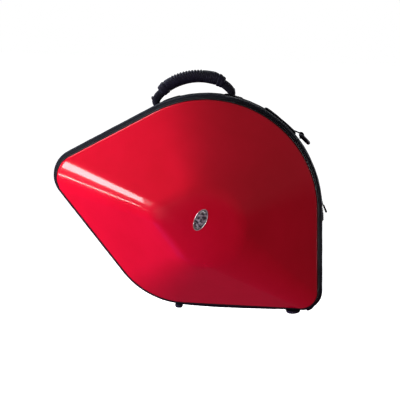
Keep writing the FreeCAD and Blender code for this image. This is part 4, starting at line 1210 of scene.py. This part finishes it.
BADGE_CENTRE = BELL_CENTRE + np.array([-2.4, 6.0])
BADGE_TURN = math.radians(24.0)
BADGE_LONG, BADGE_WIDE, BEAD_SIZE = 24.5, 12.8, 0.8


def crown_depth(points):
    reach = np.linalg.norm(points - DOME_CENTRE, axis=-1) / 82.0
    return DOME_DEPTH + CROWN_RISE * (1 - reach ** 2)


def badge_oval(count):
    """Points round the badge's edge, from the badge's centre."""
    around = full_turn(count)
    up, across = BADGE_LONG * np.cos(around), BADGE_WIDE * np.sin(around)
    return np.column_stack([across * math.cos(BADGE_TURN) + up * math.sin(BADGE_TURN),
                            -across * math.sin(BADGE_TURN) + up * math.cos(BADGE_TURN)])


def badge_rows(shares, heights):
    """Rows of ovals on the crown, each a share of the badge's size and a height above it."""
    rows = []
    for share, height in zip(shares, heights):
        points = BADGE_CENTRE + share * badge_oval(96)
        rows.append(at_depth(points, crown_depth(points) + height, -1))
    return rows


def badge():
    """Plain oval badge: a half-round bezel, a mottled plate and one row of beads."""
    turns = np.linspace(0, math.pi, 11)
    shares = 0.945 + 0.055 * np.cos(turns)
    bezel = hoop("badge_bezel_ring", badge_rows([1.0, *shares, 0.86],
                                                [-1.2, *(0.2 + 1.9 * np.sin(turns)), -1.2]))
    dress(bezel, "bright", LID, ("badge_bezel",))
    shares = np.array([0.88, 0.88, 0.8, 0.6, 0.4, 0.2, 0.05])
    heights = np.array([-1.2, 0.55, 0.75, 1.0, 1.15, 1.25, 1.3])
    plate = loft("badge_plate_enamel", badge_rows(shares, heights))
    dress(plate, "enamel", LID, ("badge_plate",))
    frames = []
    for way in 0.8 * badge_oval(46):
        x, z = BADGE_CENTRE + way
        out_x, out_z = way / np.linalg.norm(way)
        axes = np.array([[out_x, 0, out_z], [-out_z, 0, out_x], [0, -1, 0]])
        frames.append(((x, -crown_depth(BADGE_CENTRE + way) - 1.1, z), axes * BEAD_SIZE))
    beads = scatter("badge_rosette", pod(1.5, 0.8, 0.7, 8, 5), frames)
    dress(beads, "bright", LID)


# ---------------------------------------------------------------- stage

FLOOR_HEIGHT = -0.25     # lower than the open lid reaches


def floor():
    """Plain pale floor, set below the reach of the open lid so that it never hides it."""
    made, _, shader = start_material("pale_floor", Roughness=0.9, Specular_IOR_Level=0.1)
    shader.inputs["Base Color"].default_value = (0.9, 0.9, 0.9, 1)
    shader.inputs["Emission Color"].default_value = (1, 1, 1, 1)
    shader.inputs["Emission Strength"].default_value = 0.9
    reach = 30.0
    mesh = bpy.data.meshes.new("pale_floor")
    mesh.from_pydata([(-reach, -reach, FLOOR_HEIGHT), (reach, -reach, FLOOR_HEIGHT),
                      (reach, reach, FLOOR_HEIGHT), (-reach, reach, FLOOR_HEIGHT)], [],
                     [(0, 1, 2, 3)])
    item = linked("pale_floor", mesh)
    item.data.materials.append(made)
    item.visible_glossy = item.visible_diffuse = item.visible_shadow = False


MIDDLE, RIDGE = (0.0, 0.0, 0.24), (-0.17, -0.09, 0.28)
WHITE, PALE_BLUE = (1, 1, 1), (0.9, 0.95, 1.0)
# name, place and target in metres, width, height, watts, colour, rays that do not see it
LIGHTS = (
    ("key_left", (-1.60, 0.03, 0.50), MIDDLE, 0.5, 0.7, 54, WHITE, "glossy"),
    ("front_left_fill", (-0.95, -1.65, 0.24), MIDDLE, 0.8, 0.8, 17, WHITE, "glossy"),
    ("ridge_soft", (-1.46, -0.80, 0.82), RIDGE, 0.46, 0.42, 22, WHITE, "diffuse"),
    ("ridge_line", (-1.60, -0.72, 0.24), RIDGE, 0.5, 0.03, 4, WHITE, "diffuse"),
    ("cool_from_below", (-1.1, -0.7, -1.0), MIDDLE, 0.8, 0.8, 20, (0.14, 0.10, 1.0), "glossy"),
    ("back_top", (-0.75, 0.62, 1.35), MIDDLE, 1.0, 0.5, 5, (0.75, 0.85, 1.0), None),
    ("rim_top", (-0.45, 0.80, 1.55), MIDDLE, 2.2, 0.5, 24, PALE_BLUE, "diffuse"),
    ("rim_right", (1.40, 0.75, 0.45), MIDDLE, 0.5, 1.3, 20, PALE_BLUE, "diffuse"),
)


def lights():
    for name, where, target, wide, tall, watts, colour, unseen in LIGHTS:
        data = bpy.data.lights.new(name, "AREA")
        data.shape = "RECTANGLE"
        data.size, data.size_y, data.energy, data.color = wide, tall, watts, colour
        item = linked(name, data)
        item.location = where
        aim = Vector(target) - Vector(where)
        item.rotation_euler = aim.to_track_quat("-Z", "Y").to_euler()
        if unseen:
            setattr(item, "visible_" + unseen, False)
    world = bpy.data.worlds.new("studio")
    world.use_nodes = True
    tree = world.node_tree
    background = tree.nodes["Background"]
    path = node(tree, "ShaderNodeLightPath")
    height = node(tree, "ShaderNodeSeparateXYZ", Vector=coordinates(tree, "Generated"))
    below = ramp(tree, height.outputs["Z"], (1.0, 0.36, 0.44), (1.0, 1.0, 1.0), 0.0, 0.25)
    seen = path.outputs["Is Camera Ray"]
    tree.links.new(mixed_colour(tree, seen, below, (1, 1, 1)), background.inputs["Color"])
    strength = node(tree, "ShaderNodeMapRange", Value=seen, To_Min=0.24, To_Max=1.0)
    tree.links.new(strength.outputs["Result"], background.inputs["Strength"])
    bpy.context.scene.world = world
    bpy.context.scene.view_settings.view_transform = "Standard"


def camera():
    """Long lens, a little to the right of the front and 10 degrees up, turned slightly."""
    azimuth, elevation, roll = math.radians(4.0), math.radians(10.0), math.radians(1.87)
    distance, target = 2.1, Vector((-0.0007, 0.0, 0.2411))
    back = Vector((math.sin(azimuth) * math.cos(elevation),
                   -math.cos(azimuth) * math.cos(elevation), math.sin(elevation)))
    right = Vector((0, 0, 1)).cross(back).normalized()
    up = back.cross(right)
    turned_right = right * math.cos(roll) + up * math.sin(roll)
    turned_up = -right * math.sin(roll) + up * math.cos(roll)
    data = bpy.data.cameras.new("view")
    data.sensor_width, data.lens = 36.0, 84.75
    data.shift_x = 0.025
    item = linked("view", data)
    columns = [(*axis, 0) for axis in (turned_right, turned_up, back)]
    item.matrix_world = Matrix(columns + [(*(target + back * distance), 1)]).transposed()
    bpy.context.scene.camera = item


# ---------------------------------------------------------------- build

camera()
floor()
lights()
for half_side, half_prefix, half_body in ((1, "rear", BASE), (-1, "front", LID)):
    shell_skin(half_side, half_prefix, half_body)
    lining_skin(half_side, half_prefix, half_body)
    band_cover(half_side, half_prefix, half_body)
    edge_bead(half_side, half_prefix, half_body)
    zip_tape(half_side, half_prefix, half_body)
    zip_coil(half_side, half_prefix, half_body)
    for foot_place in ("left", "right"):
        foot(half_prefix, foot_place, half_body)
    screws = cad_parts[half_prefix + "_foot_screws"]
    screws.data.materials.clear()
    screws.data.materials.append(LOOKS["steel"])
hinge_gusset()
foam_insert("bell_cradle_cover", "bell_cradle", 1, 92.0, 110.0, 112.0, BASE)
foam_insert("lid_cushion_cover", "lid_cushion", -1, 104.0, 116.0, 96.0, LID)
block_pad("mouthpipe_rest_cover", "mouthpipe_rest", groove=11.0)
block_pad("valve_pad_cover", "valve_pad")
block_pad("crook_pad_cover", "crook_pad")
retaining_strap()
zip_sliders()
handle_grip()
grip_collar("left", -33.5, -41.0, (18.8, 16.2), (-10.4, -9.6))
grip_collar("right", 27.0, 34.5, (16.6, 12.6), (-12.4, -11.2))
handle_strap()
handle_roots()
ring_parts()
zip_end_tab()
badge()
